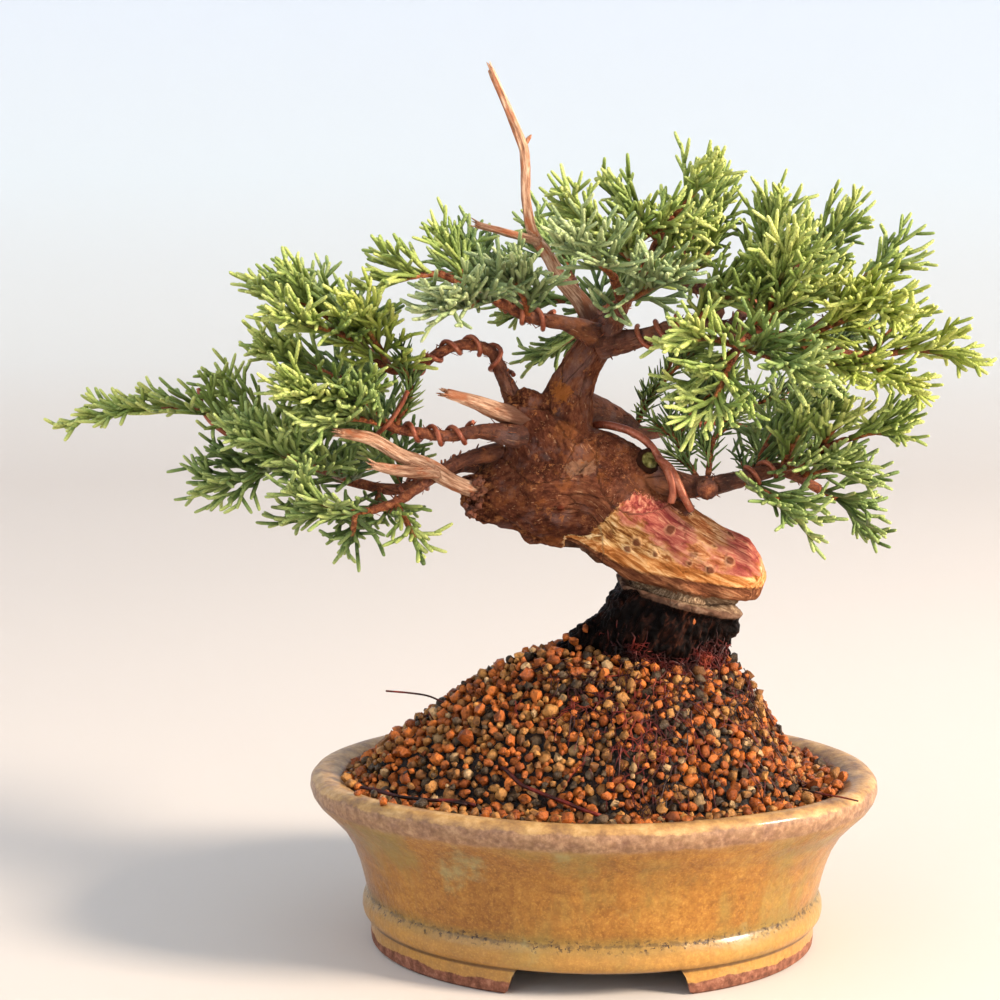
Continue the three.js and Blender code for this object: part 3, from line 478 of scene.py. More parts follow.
def lump(rng, wear):
    """A worn lump of about one unit radius: a small cube, cut finer, rounded and knocked out of shape."""
    bpy.ops.object.select_all(action="DESELECT")
    bpy.ops.mesh.primitive_cube_add(size=1.5)
    stone = bpy.context.object
    bpy.ops.object.mode_set(mode="EDIT")
    bpy.ops.mesh.subdivide(number_cuts=1)
    bpy.ops.transform.tosphere(value=wear)
    bpy.ops.object.mode_set(mode="OBJECT")
    points = np.array([v.co for v in stone.data.vertices])
    faces = [tuple(p.vertices) for p in stone.data.polygons]
    for axis in range(3):
        points[:, axis] *= rng.uniform(0.72, 1.2)
    for _ in range(5):
        way = np.array([rng.gauss(0, 1) for _ in range(3)])
        way /= np.linalg.norm(way)
        over = np.maximum(points @ way - rng.uniform(0.5, 0.8), 0)
        points -= 0.8 * over[:, None] * way
    points += np.array([[rng.uniform(-0.16, 0.16) for _ in range(3)] for _ in range(len(points))])
    bpy.data.objects.remove(stone)
    return points, faces


def turned(rng):
    """A random turn, as a 3 by 3 array."""
    angle = rng.uniform(0, 6.28)
    axis = Vector([rng.gauss(0, 1) for _ in range(3)]).normalized()
    return np.array(Matrix.Rotation(angle, 3, axis))


def store(piece, name, values):
    """Keeps a number, three numbers or a colour for each point of a piece."""
    values = np.asarray(values, np.float32)
    width = values.size // len(piece.data.vertices)
    kind, field = {1: ("FLOAT", "value"), 3: ("FLOAT_VECTOR", "vector"), 4: ("FLOAT_COLOR", "color")}[width]
    piece.data.attributes.new(name, kind, "POINT").data.foreach_set(field, values.ravel())


def stored(tree, name, output="Vector"):
    """In a material, what store has kept on the points under a name."""
    return put(tree, "ShaderNodeAttribute", attribute_name=name).outputs[output]


def copies(name, shapes, placed):
    """One mesh of many small lumps, with a random tone stored for each lump.
    placed: which shape, its place in millimetres, its radius, its turn and its tone."""
    points, faces, tones = [], [], []
    count = 0
    for which, place, size, spin, tone in placed:
        corners, sides = shapes[which]
        points.append((corners * size) @ spin.T + np.array(place))
        faces += [tuple(count + c for c in side) for side in sides]
        tones += [tone] * len(corners)
        count += len(corners)
    piece = piece_of(name, in_metres(np.concatenate(points)).tolist(), faces)
    store(piece, "tone", [(*t, 1.0) for t in tones])
    alone(piece)
    bpy.ops.object.shade_smooth_by_angle(angle=math.radians(62))
    return piece


# The grains are tried one by one, and are laid where they stay clear of the others.
chance = random.Random(11)
lumps = [lump(chance, chance.uniform(0.5, 0.95)) for _ in range(20)]
STUMP_X, STUMP_Y, STUMP_RADIUS = 19, 4.5, 16.5
# Layers of grains: how many are tried, how far over the mound they lie, and their least and greatest radius.
GRAIN_LAYERS = [
    (2100, -2.6, 1.4, 2.1), (520, -0.5, 2.0, 2.6), (2400, -0.5, 1.4, 2.0), (1700, -0.2, 0.8, 1.25),
]
GRAIN_REACH = 72.6
GRAIN_TRIES = 14
GRAIN_BITE = 0.84
CELL = 5
grid = {}
grains = []


def has_room(place, size):
    """Whether a grain would stay clear of the grains already laid, apart from a small bite."""
    cell = tuple(int(c // CELL) for c in place)
    for dx in (-1, 0, 1):
        for dy in (-1, 0, 1):
            for dz in (-1, 0, 1):
                for other, radius in grid.get((cell[0] + dx, cell[1] + dy, cell[2] + dz), ()):
                    if math.dist(place, other) < GRAIN_BITE * (size + radius):
                        return False
    grid.setdefault(cell, []).append((place, size))
    return True


for count, sink, small, large in GRAIN_LAYERS:
    for _ in range(count):
        size = chance.uniform(small, large)
        for _ in range(GRAIN_TRIES):
            angle, reach = chance.uniform(0, 2 * math.pi), math.sqrt(chance.random())
            x = (GRAIN_REACH - 0.8 * size) * reach * math.cos(angle)
            y = float(drawn_in((GRAIN_REACH - 0.8 * size) * reach * math.sin(angle) * POT_DEPTH, SOIL_EDGE))
            if math.hypot(x - STUMP_X, y - STUMP_Y) < STUMP_RADIUS:
                continue
            place = (x, y, mound(x, y) + sink + chance.uniform(-0.5, 0.9))
            if has_room(place, size):
                grains.append((place, size))
                break

# More grains are tried along the slope of the lip, at the front.
LIP_GRAINS = 900
LIP_SLOPE = [(71.2, 44.5), (72, 47), (73.2, 48.6), (75, 49.6), (77.2, 50.2)]
for _ in range(LIP_GRAINS):
    size = chance.uniform(1.2, 2.1)
    angle, reach = chance.uniform(-3.0, -0.1), chance.uniform(68.5, 73.6 - 0.5 * size)
    height = float(np.interp(reach, *zip(*LIP_SLOPE))) + 0.8 * size
    height += chance.uniform(0.2, 0.5 * (77 - reach))
    y = float(drawn_in(reach * math.sin(angle) * POT_DEPTH, SOIL_EDGE))
    place = (reach * math.cos(angle), y, height)
    if has_room(place, size):
        grains.append((place, size))

# Single grains that the photograph shows on the lip, on the stump and on its left root: place and radius.
STRAY_GRAINS = [
    ((-58.5, -43.5, 51.9), 1.5), ((27.4, -15.2, 96.6), 1.3), ((-66.2, -33, 51.4), 1.1),
    ((-6, -4.8, 88.8), 1.5), ((-9.5, -5.5, 85.6), 1.6), ((-2.5, -4.2, 92.2), 1.3),
    ((-12.5, -6.6, 82.4), 1.7), ((-8, -2.4, 89.4), 1.4), ((-12, -3.4, 85.4), 1.6), ((-15, -5, 81.6), 1.8),
    ((-4.5, -6.3, 87), 1.2),
]
grains += STRAY_GRAINS

# Four kinds of grain are mixed, with more dark lava in patches and round the stump.
LAVA_RING = 34
GRAIN_KINDS = {"clay_grains": 0.52, "tan_grains": 0.3, "lava_grains": 0.13, "pumice_grains": 0.05}
kinds = {name: [] for name in GRAIN_KINDS}
for place, size in grains:
    near_stump = max(0.0, 1 - math.hypot(place[0] - 18, place[1] - 4) / LAVA_RING)
    patch = 0.5 + 0.5 * noise.noise(Vector(place) * 0.07)
    shares = dict(GRAIN_KINDS)
    shares["lava_grains"] *= 0.55 + 1.0 * patch + 2.2 * near_stump
    name = chance.choices(list(shares), list(shares.values()))[0]
    if (place, size) in STRAY_GRAINS:
        name = "clay_grains"
    tone = (chance.random(), chance.random(), patch)
    kinds[name].append((chance.randrange(len(lumps)), place, size, turned(chance), tone))


def damp_grain():
    """A group that breaks up a grain's colour with pits and damp stains, and gives its bump."""
    group = bpy.data.node_groups.new("damp_grain", "ShaderNodeTree")
    for name in ("Light", "Deep", "Stain"):
        group.interface.new_socket(name, in_out="INPUT", socket_type="NodeSocketColor")
    group.interface.new_socket("Color", in_out="OUTPUT", socket_type="NodeSocketColor")
    group.interface.new_socket("Height", in_out="OUTPUT", socket_type="NodeSocketFloat")
    group.interface.new_socket("Wet", in_out="OUTPUT", socket_type="NodeSocketFloat")
    given = group.nodes.new("NodeGroupInput").outputs
    made = group.nodes.new("NodeGroupOutput")
    where = surface_place(group)
    parts = put(group, "ShaderNodeSeparateColor", {"Color": stored(group, "tone", "Color")}).outputs
    pores = mottle(group, where, 1100, 4, 0.7)
    broad = mottle(group, where, 260, 3, 0.6)
    mixed = blend(group, parts["Red"], given["Light"], given["Deep"])
    mixed = wash(group, mixed, given["Stain"], between(group, broad, 0.48, 0.66), 0.75)
    mixed = wash(group, mixed, given["Stain"], between(group, pores, 0.5, 0.36), 0.5)
    group.links.new(mixed, made.inputs["Color"])
    group.links.new(plus(group, pores, broad), made.inputs["Height"])
    wet = plus(group, times(group, parts["Green"], 0.35), times(group, broad, 0.5))
    group.links.new(plus(group, wet, 0.02), made.inputs["Wet"])
    return group


damp = damp_grain()


def grain_finish(name, light, deep, stain):
    """A grain material: its two end colours and the colour of its damp stains."""
    finish, tree, shader = new_finish(name, Specular_IOR_Level=0.28)
    look = put(tree, "ShaderNodeGroup", node_tree=damp)
    for socket, colour in (("Light", light), ("Deep", deep), ("Stain", stain)):
        look.inputs[socket].default_value = tint(colour)
    tree.links.new(look.outputs["Color"], shader.inputs["Base Color"])
    tree.links.new(look.outputs["Wet"], shader.inputs["Roughness"])
    tree.links.new(relief(tree, look.outputs["Height"], 0.6 * MM), shader.inputs["Normal"])
    return finish


GRAIN_TONES = {
    "clay_grains": ("#CB722E", "#8A4418", "#50240C"),
    "tan_grains": ("#BE8646", "#7E5028", "#482C16"),
    "lava_grains": ("#5E4A34", "#35281A", "#1A110A"),
    "pumice_grains": ("#CDA878", "#93734A", "#5C462B"),
}
for name, placed in kinds.items():
    heap = copies(name, lumps, placed)
    heap.data.materials.append(grain_finish(name.replace("grains", "grain"), *GRAIN_TONES[name]))
    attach(heap, "root")
    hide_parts("soil")

# ---------- trunk ----------
# One old trunk: a wet stump in the soil, a thick bole that folds back over it, and a neck above. Brown bark
# is scrubbed off the fold, which shows cream, red and orange wood over a dead strip with a roll of callus.
# Each limb is a line of places, x, y and z, each with a radius.
TRUNK = {
    "stump": [
        (18, 5, 62, 14), (18, 5, 75, 18), (19, 4, 84, 20), (21, 2, 92, 19.6), (26, 0, 100, 17),
        (29, -1, 107, 13),
    ],
    "bole": [
        (47, -2, 103, 4), (44, -2, 105, 8.8), (39, -3, 107.5, 11.8), (29, -3, 112, 12.8), (20, -2, 117, 13.4),
        (10, 0, 124, 15.2), (1, 1, 132, 16), (-11, 2, 134, 15.8), (-21, 2, 132, 14.4), (-28, 0, 131, 10),
        (-33, -2, 131, 6.5), (-37, -3, 132, 4),
    ],
    "neck": [
        (-8, 2, 138, 14), (-12, 2, 146, 12.4), (-9, 2, 154, 9), (-7.2, 2, 160, 6.9), (-4, 2, 167, 5.4),
        (-0.5, 2, 173, 5.2), (4, 2, 179, 5),
    ],
    "scar_stub": [(10, -1, 134, 5), (14, -5.6, 140, 4), (15.2, -7.8, 141.4, 3.2)],
    "left_corner": [(-2, 2, 124, 9), (-12, 2, 122, 7.4), (-20, 1, 119.2, 3.2)],
    "stub": [(-16, -1, 145, 9), (-20, -2, 153, 6.8), (-20.6, -2, 159.5, 5.2)],
}
ROOTS = [
    [
        (14, 3, 98, 7), (3, 1, 91, 6), (-6, -1, 85, 5), (-16, -4, 75, 3.8), (-28, -8, 60, 2.2),
        (-36, -11, 46, 1.2),
    ],
    [(18, 5, 74, 9), (32, 12, 62, 5.4), (42, 18, 48, 3), (46, 22, 34, 1.5)],
    [(18, 5, 74, 9), (13, 22, 60, 5), (6, 34, 46, 2.8), (0, 40, 34, 1.4)],
    [(18, 5, 74, 9), (24, -14, 62, 5), (28, -26, 48, 2.8), (30, -32, 34, 1.4)],
]
VOXEL = 0.55
SKIN_SMOOTHING = 8


def curve_point(path, t):
    """The place and direction at a share of a smooth curve through the path's points."""
    points = [Vector(p[:3]) for p in path]
    points = [2 * points[0] - points[1], *points, 2 * points[-1] - points[-2]]
    spans = len(path) - 1
    k = min(int(t * spans), spans - 1)
    s = t * spans - k
    x0, x1, x2, x3 = points[k : k + 4]
    d0, d1, d2 = [math.sqrt((b - a).length) for a, b in ((x0, x1), (x1, x2), (x2, x3))]
    out = ((x1 - x0) / d0 - (x2 - x0) / (d0 + d1) + (x2 - x1) / d1) * d1
    into = ((x2 - x1) / d1 - (x3 - x1) / (d1 + d2) + (x3 - x2) / d2) * d1
    bend, twist = 3 * (x2 - x1) - 2 * out - into, 2 * (x1 - x2) + out + into
    place = x1 + s * (out + s * (bend + s * twist))
    return place, (out + s * (2 * bend + 3 * s * twist)).normalized()


def stations(path, steps):
    """Places along a limb, each with its frame across the limb, its radius and its share of the length."""
    made = []
    normal = None
    spans = len(path) - 1
    for i in range(spans * steps + 1):
        t = i / (spans * steps)
        place, along = curve_point(path, t)
        if normal is None:
            normal = Vector((0, 0, 1)) if abs(along.z) < 0.9 else Vector((1, 0, 0))
        normal = (normal - along * normal.dot(along)).normalized()
        k = min(i // steps, spans - 1)
        share = i / steps - k
        radius = path[k][3] * (1 - share) + path[k + 1][3] * share
        made.append((place, along, normal, along.cross(normal), radius, t))
    return made


def skin(path, sides, steps, shape=None):
    """Points, in millimetres, and faces of a closed skin round a limb. shape: how the radius varies."""
    points, faces = [], []
    made = stations(path, steps)
    for place, along, normal, side, radius, t in made:
        for i in range(sides):
            angle = 2 * math.pi * i / sides
            reach = radius * (shape(angle, t) if shape else 1)
            points.append(place + reach * (math.cos(angle) * normal + math.sin(angle) * side))
    for k in range(len(made) - 1):
        for i in range(sides):
            a, b = k * sides + i, k * sides + (i + 1) % sides
            faces.append((a, b, b + sides, a + sides))
    last = (len(made) - 1) * sides
    place, along, _, _, radius, _ = made[-1]
    points += [made[0][0], place + along * radius * 0.5]
    for i in range(sides):
        faces.append(((i + 1) % sides, i, len(points) - 2))
        faces.append((last + i, last + (i + 1) % sides, len(points) - 1))
    return points, faces


def furrows(angle, t):
    """The swells and hollows along old juniper wood."""
    return 1 + 0.05 * math.sin(5 * angle + 4 * t) + 0.03 * math.sin(3 * angle - 7 * t)


def joined(skins):
    """Several skins as one list of points and one list of faces."""
    points, faces = [], []
    for corners, sides in skins:
        faces += [tuple(len(points) + c for c in side) for side in sides]
        points += corners
    return points, faces


wood = [skin(path, sides=48, steps=6, shape=furrows) for path in TRUNK.values()]
wood += [skin(path, sides=20, steps=6) for path in ROOTS]
points, faces = joined(wood)
trunk = piece_of("trunk_wood", [spot(*p) for p in points], faces)
alone(trunk)
remesh = trunk.modifiers.new("one_skin", "REMESH")
remesh.mode = "VOXEL"
remesh.voxel_size = VOXEL * MM
bpy.ops.object.modifier_apply(modifier="one_skin")
soften = trunk.modifiers.new("soften", "SMOOTH")
soften.factor = 0.5
soften.iterations = SKIN_SMOOTHING
bpy.ops.object.modifier_apply(modifier="soften")
bpy.ops.object.shade_smooth()

# The borders of the scrubbed wood on the front, as x, z pairs from left to right.
PEEL_TOP = [
    (-9, 118), (-7.8, 120.7), (-2.5, 119.6), (2.4, 125.2), (6.3, 129.8), (10.2, 132.6), (14.2, 132.1),
    (18, 130.6), (21.4, 128.5), (25.1, 125.9), (28, 127), (31, 134), (60, 140),
]
BAND_TOP = [
    (-10, 119.5), (-7, 119.7), (1.2, 118.6), (6.7, 116.8), (12.3, 115.5), (17.1, 115.1), (23.5, 113.2),
    (29.1, 111.3), (36.2, 110.1), (43.5, 109.2), (52, 109),
]
STRIP_TOP = [
    (-10, 118.9), (-7, 118.8), (1.2, 114.6), (7.6, 110.2), (12.6, 109), (17.4, 107.7), (23.7, 107.3),
    (29.3, 106.2), (36.4, 105.4), (43.8, 104), (52, 103.4),
]
CALLUS = [
    (-10, 117.6), (-2.4, 115.7), (1.9, 111), (5.6, 107.8), (9, 104.6), (12.7, 104), (17.3, 102.9),
    (23.6, 101.5), (29.3, 100.2), (35.4, 98), (42.8, 96.7), (52, 96),
]
LEDGE = [(-27, 158), (-24.7, 157.7), (-13.9, 155.4), (-3.9, 148.8), (0, 146)]
# Knots: x, y, z and radius.
KNOTS = [
    (20.6, -14.7, 122.5, 1.9), (37.6, -14.9, 113.8, 1.7), (32, -15.4, 111.3, 1.6), (11.2, -14.3, 118.7, 2.0),
    (8.7, -13.2, 116.6, 1.7), (16.5, -14.5, 115.6, 1.5), (38.6, -6.7, 120.3, 1.7), (33, -14, 117.5, 1.1),
    (26.5, -15, 113.6, 1.2), (42, -12, 110.4, 1.3), (24, 12, 121, 1.8), (36, 11, 114, 1.6),
    (12, 16, 126, 1.9), (2, -14.5, 139, 1.3), (-10, -13, 128, 1.8), (-14, 15, 140, 2.0),
    (-3.8, -9, 167.5, 1.6), (19, 9.5, 112, 1.5),
]
# Spots where the bark is rubbed: x, z, half its width and height, and the y that it lies in front of.
BARK_SPOTS = [(-4, 139.8, 4.2, 2.2, 0), (11, 134.2, 6.5, 3.6, 0), (-9.5, 160.2, 2.6, 3.6, 2)]
FLUSH_START, FLUSH_END, FLUSH_WIDTH = (13, 131), (31, 108), 5.5
SCAR = (15, -7.6, 141.2)
SCAR_FACING = Vector((0.45, -0.72, 0.52))
SCAR_RADIUS = 2.7


def along_line(line, x):
    """The height of a border at x."""
    return np.interp(x, [p[0] for p in line], [p[1] for p in line])


def speckled(places, size, seed=0.0):
    """Soft noise from -1 to 1 at each place, with spots of about a size in millimetres."""
    shift = Vector((seed, seed * 1.7, -seed))
    return np.array([noise.noise(Vector(p) / size + shift) for p in places])


def cracked(places, size, seed=0.0):
    """How far each place is from the nearest crack of a crazed surface, 0 in a crack to about 1."""
    shift = Vector((seed, -seed, seed * 0.3))
    found = []
    for p in places:
        distances = noise.voronoi(Vector(p) / size + shift)[0]
        found.append(distances[1] - distances[0])
    return np.array(found)


def nearest_run(places, paths):
    """For each place: where it is across the nearest limb, two ways, and how far along it, in millimetres."""
    rows = []
    for run, path in enumerate(paths):
        rows += [(*station[:4], run) for station in stations(path, 12)]
    middles, alongs, ns, ss = [np.array([r[i] for r in rows]) for i in range(4)]
    runs = np.array([r[4] for r in rows])
    steps = np.linalg.norm(np.diff(middles, axis=0, prepend=middles[:1]), axis=1)
    length = np.cumsum(np.where(np.diff(runs, prepend=-1) == 0, steps, 40))
    found = np.empty((len(places), 3))
    for start in range(0, len(places), 4000):
        part = places[start : start + 4000]
        nearest = ((part[:, None, :] - middles[None]) ** 2).sum(2).argmin(1)
        off = part - middles[nearest]
        found[start : start + 4000, 0] = (off * ns[nearest]).sum(1)
        found[start : start + 4000, 1] = (off * ss[nearest]).sum(1)
        found[start : start + 4000, 2] = length[nearest] + (off * alongs[nearest]).sum(1)
    return found


skinned = places_of(trunk.data)
x, y, z = skinned.T
wiggle = speckled(skinned, 5, 3)
layer_x = x + np.where(y > 2, 2.5 * speckled(skinned, 14, 9), 0)
band, strip, callus = [along_line(line, layer_x) for line in (BAND_TOP, STRIP_TOP, CALLUS)]
peel_top = along_line(PEEL_TOP, layer_x) + 0.5 * wiggle

# One number counts down through the layers: 0 at the band's top, -1 at the dead strip, -2 at the callus.
layer = np.where(z > band, (z - band) / 3, 0)
layer = np.where((z <= band) & (z > strip), (z - band) / np.maximum(band - strip, 0.3), layer)
layer = np.where((z <= strip) & (z > callus), -1 + (z - strip) / np.maximum(strip - callus, 0.3), layer)
layer = np.where(z <= callus, -2 + (z - callus) / 1.5, layer)
stump_side = smooth(104 + (layer_x - 9) * 0.3 - z, -1, 1) * smooth(layer_x, 16, 9)
layer = np.where(stump_side > 0.5, np.minimum(layer, -3.5), layer)
layer = np.where((layer_x < -8.5) & (z > 100), 2, layer)
peel = np.minimum(peel_top - z, (layer_x + 9) * 1.2)
peel = np.where(layer < 0, 3, peel)
dead = smooth(layer_x, 4, 11)
broken = smooth(x, -25, -33) + smooth(np.hypot(x + 22, z - 160), 5, 2)
knot_dark = np.zeros(len(skinned))
normals = np.empty(3 * len(trunk.data.vertices))
trunk.data.vertices.foreach_get("normal", normals)
normals = normals.reshape(-1, 3)

# Every point is pushed out or in, first by broad swells, then by the plates and fibres of the bark.
push = 0.9 * speckled(skinned, 13, 1) + 0.4 * speckled(skinned, 5.5, 2)
bark_share = smooth(-peel, -0.3, 0.5) * smooth(layer, -3, -2.6)
plates = smooth(cracked(skinned * np.array([1, 1, 0.6]), 5.5, 5), 0.02, 0.12)
rough_bark = 0.35 + 0.65 * smooth(speckled(skinned, 9, 7), -0.2, 0.3)
push -= 0.16 * bark_share * rough_bark * (1 - plates)
along_wood = speckled(nearest_run(skinned, list(TRUNK.values())) * np.array([1, 1, 0.22]), 1.5, 19)
push += bark_share * (0.2 * speckled(skinned, 1.6, 8) + 0.22 * along_wood)

# The bark stands a little proud of the scrubbed wood, which has its own fine grain.
edge = np.exp(-((peel / 0.8) ** 2)) * (layer > 0)
push += 0.45 * np.where(peel < 0, edge, 0) * (z > 112)
push -= 0.25 * smooth(peel, 0, 0.8) * (layer > 0)
push += 0.14 * smooth(peel, 0, 1) * speckled(skinned * np.array([0.35, 1, 1.3]), 1.1, 4)

# The dead strip is sunk, with a crack along it, a swollen edge above and the roll of callus below.
strip_dip = smooth(layer, -1.32, -1.5) * smooth(layer, -1.98, -1.75)
push -= (0.6 + 1.5 * dead) * strip_dip
push += 0.6 * np.exp(-(((layer + 1.12) / 0.25) ** 2)) * (1 + 0.6 * wiggle)
crack_line = np.exp(-(((layer + 1.72 + 0.06 * wiggle) / 0.05) ** 2))
push -= 0.5 * crack_line * dead
roll = 1.25 * np.exp(-(((layer + 2.25) / 0.62) ** 2))
push += roll * (0.6 + 0.4 * dead) * (1 + 0.4 * speckled(skinned, 2.2, 6))

# The stump below is rough and fibrous.
below = smooth(layer, -3, -3.8)
fibres = speckled(skinned * np.array([1.5, 1.5, 0.25]), 2.2, 12)
push += below * (1.2 * speckled(skinned, 5, 10) + 0.9 * fibres + 0.7 * speckled(skinned, 1.6, 13) - 0.6)

# A ledge of bark crosses the neck's foot, the left ends are broken, and a hollow runs over the left corner.
ledge = z - along_line(LEDGE, x)
on_ledge = smooth(-y, 0, 4) * smooth(x, -27, -25) * smooth(x, -2, -5)
push += on_ledge * (0.8 * np.exp(-(((ledge + 1.1) / 0.9) ** 2)) - 1.0 * np.exp(-(((ledge - 0.5) / 0.7) ** 2)))
crumble = np.clip(broken, 0, 1)
push += crumble * (1.5 * speckled(skinned, 3.2, 15) + 0.7 * speckled(skinned, 1.4, 16))
hollow = np.exp(-((((x + 24) * 0.62 + (z - 121.5)) / 1.5) ** 2))
hollow = hollow * smooth(x, -34, -30) * smooth(x, -12, -17)
push -= 2.2 * hollow * smooth(y, 4, -4)

# Knots are small bosses with a dark pit, and the scar of a cut branch has a healed rim.
unround = 1 + 0.35 * speckled(skinned, 1.1, 21)
for knot_x, knot_y, knot_z, size in KNOTS:
    away = np.hypot(np.hypot(x - knot_x, y - knot_y), z - knot_z) / (0.78 * size) * unround
    push += 0.8 * np.exp(-(away**3)) - 0.3 * np.exp(-((away / 0.3) ** 2))
    knot_dark = np.maximum(knot_dark, np.exp(-((away / 1.1) ** 2)))
away = skinned - np.array(SCAR)
outward = away @ np.array(SCAR_FACING)
scar = np.sqrt(np.maximum((away**2).sum(1) - outward**2, 0)) / SCAR_RADIUS + smooth(np.abs(outward), 2, 4)
push += 0.7 * np.exp(-(((scar - 1.2) / 0.18) ** 2)) - 0.9 * smooth(scar, 1, 0.85)
spots = []
for spot_x, spot_z, width, height, front in BARK_SPOTS:
    off = ((x - spot_x) / width) ** 2 + ((z - spot_z) / height) ** 2
    spots.append(np.exp(-(off**1.5)) * (y < front))
push += spots[0] * (1.1 * speckled(skinned, 1, 23) - 0.25)
skinned += normals * push[:, None]
put_places(trunk.data, skinned)
store(trunk, "layers", np.stack([layer, peel, dead], 1))
# Painted shade: the front of the hollow and the groove along the ledge take the broken ends' dark colour.
ledge_groove_shade = on_ledge * np.exp(-(((ledge - 0.5) / 0.6) ** 2))
store(trunk, "marks", np.stack([knot_dark, crumble + 0.8 * hollow * (y < 2) + 0.6 * ledge_groove_shade, scar], 1))
store(trunk, "spots", np.stack(spots, 1))
store(trunk, "grain", nearest_run(skinned, list(TRUNK.values())) * MM)

# A crimson flush runs down across the scrubbed wood, and comes back at its right end and behind.
flush_way = (np.array(FLUSH_END) - np.array(FLUSH_START)) / math.dist(FLUSH_END, FLUSH_START)
flush_off = (x - FLUSH_START[0]) * flush_way[1] - (z - FLUSH_START[1]) * flush_way[0]
flush = np.exp(-((flush_off / FLUSH_WIDTH) ** 2)) + 0.8 * smooth(x, 36, 42) + 0.5 * smooth(y, 4, 9)
store(trunk, "flush", flush)


def old_bark():
    """A group for rough brown bark: flaking plates, dark cracks and a grey bloom, with its bump."""
    group = bpy.data.node_groups.new("old_bark", "ShaderNodeTree")
    group.interface.new_socket("Grain", in_out="INPUT", socket_type="NodeSocketVector")
    group.interface.new_socket("Bloom", in_out="INPUT", socket_type="NodeSocketFloat")
    group.interface.new_socket("Color", in_out="OUTPUT", socket_type="NodeSocketColor")
    group.interface.new_socket("Height", in_out="OUTPUT", socket_type="NodeSocketFloat")
    given = group.nodes.new("NodeGroupInput").outputs
    made = group.nodes.new("NodeGroupOutput")
    where = surface_place(group)
    run = stretched(group, given["Grain"], (1, 1, 0.3))
    fibre = mottle(group, run, 900, 5, 0.65)
    flake = mottle(group, where, 330, 6, 0.7)
    broad = mottle(group, where, 75, 3, 0.5)
    tone = plus(group, times(group, fibre, 0.55), times(group, flake, 0.45))
    tone = plus(group, tone, swing(group, broad, 0.5))
    browns = [(0.28, "#22110B"), (0.42, "#4A271B"), (0.52, "#663A28"), (0.62, "#7E4D35"), (0.76, "#9C6E52")]
    bark = colours(group, tone, *browns)
    crazing = put(group, "ShaderNodeTexVoronoi", {"Vector": run, "Scale": 240}, feature="DISTANCE_TO_EDGE")
    crack = between(group, crazing.outputs["Distance"], 0.045, 0.0)
    crack = times(group, crack, between(group, broad, 0.5, 0.62))
    bark = wash(group, bark, "#1E0F0A", crack, 0.3)
    bloom = between(group, mottle(group, where, 130, 4, 0.6), 0.5, 0.64)
    bark = wash(group, bark, "#6E5A58", bloom, given["Bloom"])
    worn = mottle(group, stretched(group, where, shift=(3, 1, 2)), 62, 6, 0.72)
    bark = wash(group, bark, "#A8632F", between(group, worn, 0.55, 0.64), 0.3)
    scratch = mottle(group, stretched(group, given["Grain"], (1, 1, 0.12)), 1600, 3, 0.6)
    bark = wash(group, bark, "#C79A74", between(group, scratch, 0.62, 0.72), 0.55)
    group.links.new(bark, made.inputs["Color"])
    group.links.new(minus(group, plus(group, fibre, flake), crack), made.inputs["Height"])
    return group


bark_look = old_bark()
trunk_finish, tree, shader = new_finish("trunk_bark_and_wood", Specular_IOR_Level=0.05)
where = surface_place(tree)
layers = parts_of(tree, stored(tree, "layers"))
marks = parts_of(tree, stored(tree, "marks"))
spots = parts_of(tree, stored(tree, "spots"))
grain = stored(tree, "grain")
bark = put(tree, "ShaderNodeGroup", {"Grain": grain, "Bloom": 0.45}, node_tree=bark_look)
along = stretched(tree, grain, (1, 1, 0.16))
streaks = mottle(tree, along, 620, 5, 0.68, 0.6)
fine_streaks = mottle(tree, along, 1700, 4, 0.7)
patches = mottle(tree, where, 85, 4, 0.62)
blotches = mottle(tree, where, 210, 4, 0.6)

# The bark is rubbed paler, darker or orange in three spots with crumbled edges.
broken_up = swing(tree, blotches, 1.8)
broken_up = plus(tree, broken_up, swing(tree, mottle(tree, where, 700, 5, 0.75), 2.6))
rubbed = bark.outputs["Color"]
for axis, tone, share in (("X", "#A07A60", 0.5), ("Y", "#6A4638", 0.35), ("Z", "#A8642C", 0.6)):
    rubbed = wash(tree, rubbed, tone, between(tree, plus(tree, spots[axis], broken_up), 0.3, 0.6), share)

# The scrubbed wood runs from cream at the left to salmon at the right, with red patches and brown blotches.
cream = colours(tree, streaks, (0.32, "#5C3019"), (0.44, "#9C6636"), (0.52, "#D6A86C"), (0.62, "#FAE4B6"))
red = colours(tree, streaks, (0.3, "#541D1F"), (0.44, "#8B373A"), (0.55, "#B25C52"), (0.7, "#DB9C7A"))
salmon = colours(tree, streaks, (0.3, "#863E26"), (0.45, "#BA684A"), (0.56, "#DC9670"), (0.7, "#F4CAA6"))
right_share = between(tree, parts_of(tree, where)["X"], pot_middle.x + 6 * MM, pot_middle.x + 40 * MM)
under_share = between(tree, layers["X"], 2.6, 0.3)
reddish = plus(tree, patches, swing(tree, streaks, 0.7))
reddish = minus(tree, reddish, times(tree, under_share, 0.1))
reddish = plus(tree, reddish, times(tree, minus(tree, stored(tree, "flush", "Fac"), 0.45), 0.24))
bare_wood = wash(tree, cream, salmon, right_share, 0.6)
bare_wood = wash(tree, bare_wood, red, between(tree, reddish, 0.4, 0.56), 0.9)
bare_wood = wash(tree, bare_wood, "#5A2A1C", between(tree, blotches, 0.58, 0.68), 0.6)
ragged = plus(tree, layers["Y"], swing(tree, fine_streaks, 5))
ragged = plus(tree, ragged, swing(tree, blotches, 3))
bare_share = between(tree, ragged, -0.25, 0.35)
surface = blend(tree, bare_share, rubbed, bare_wood)
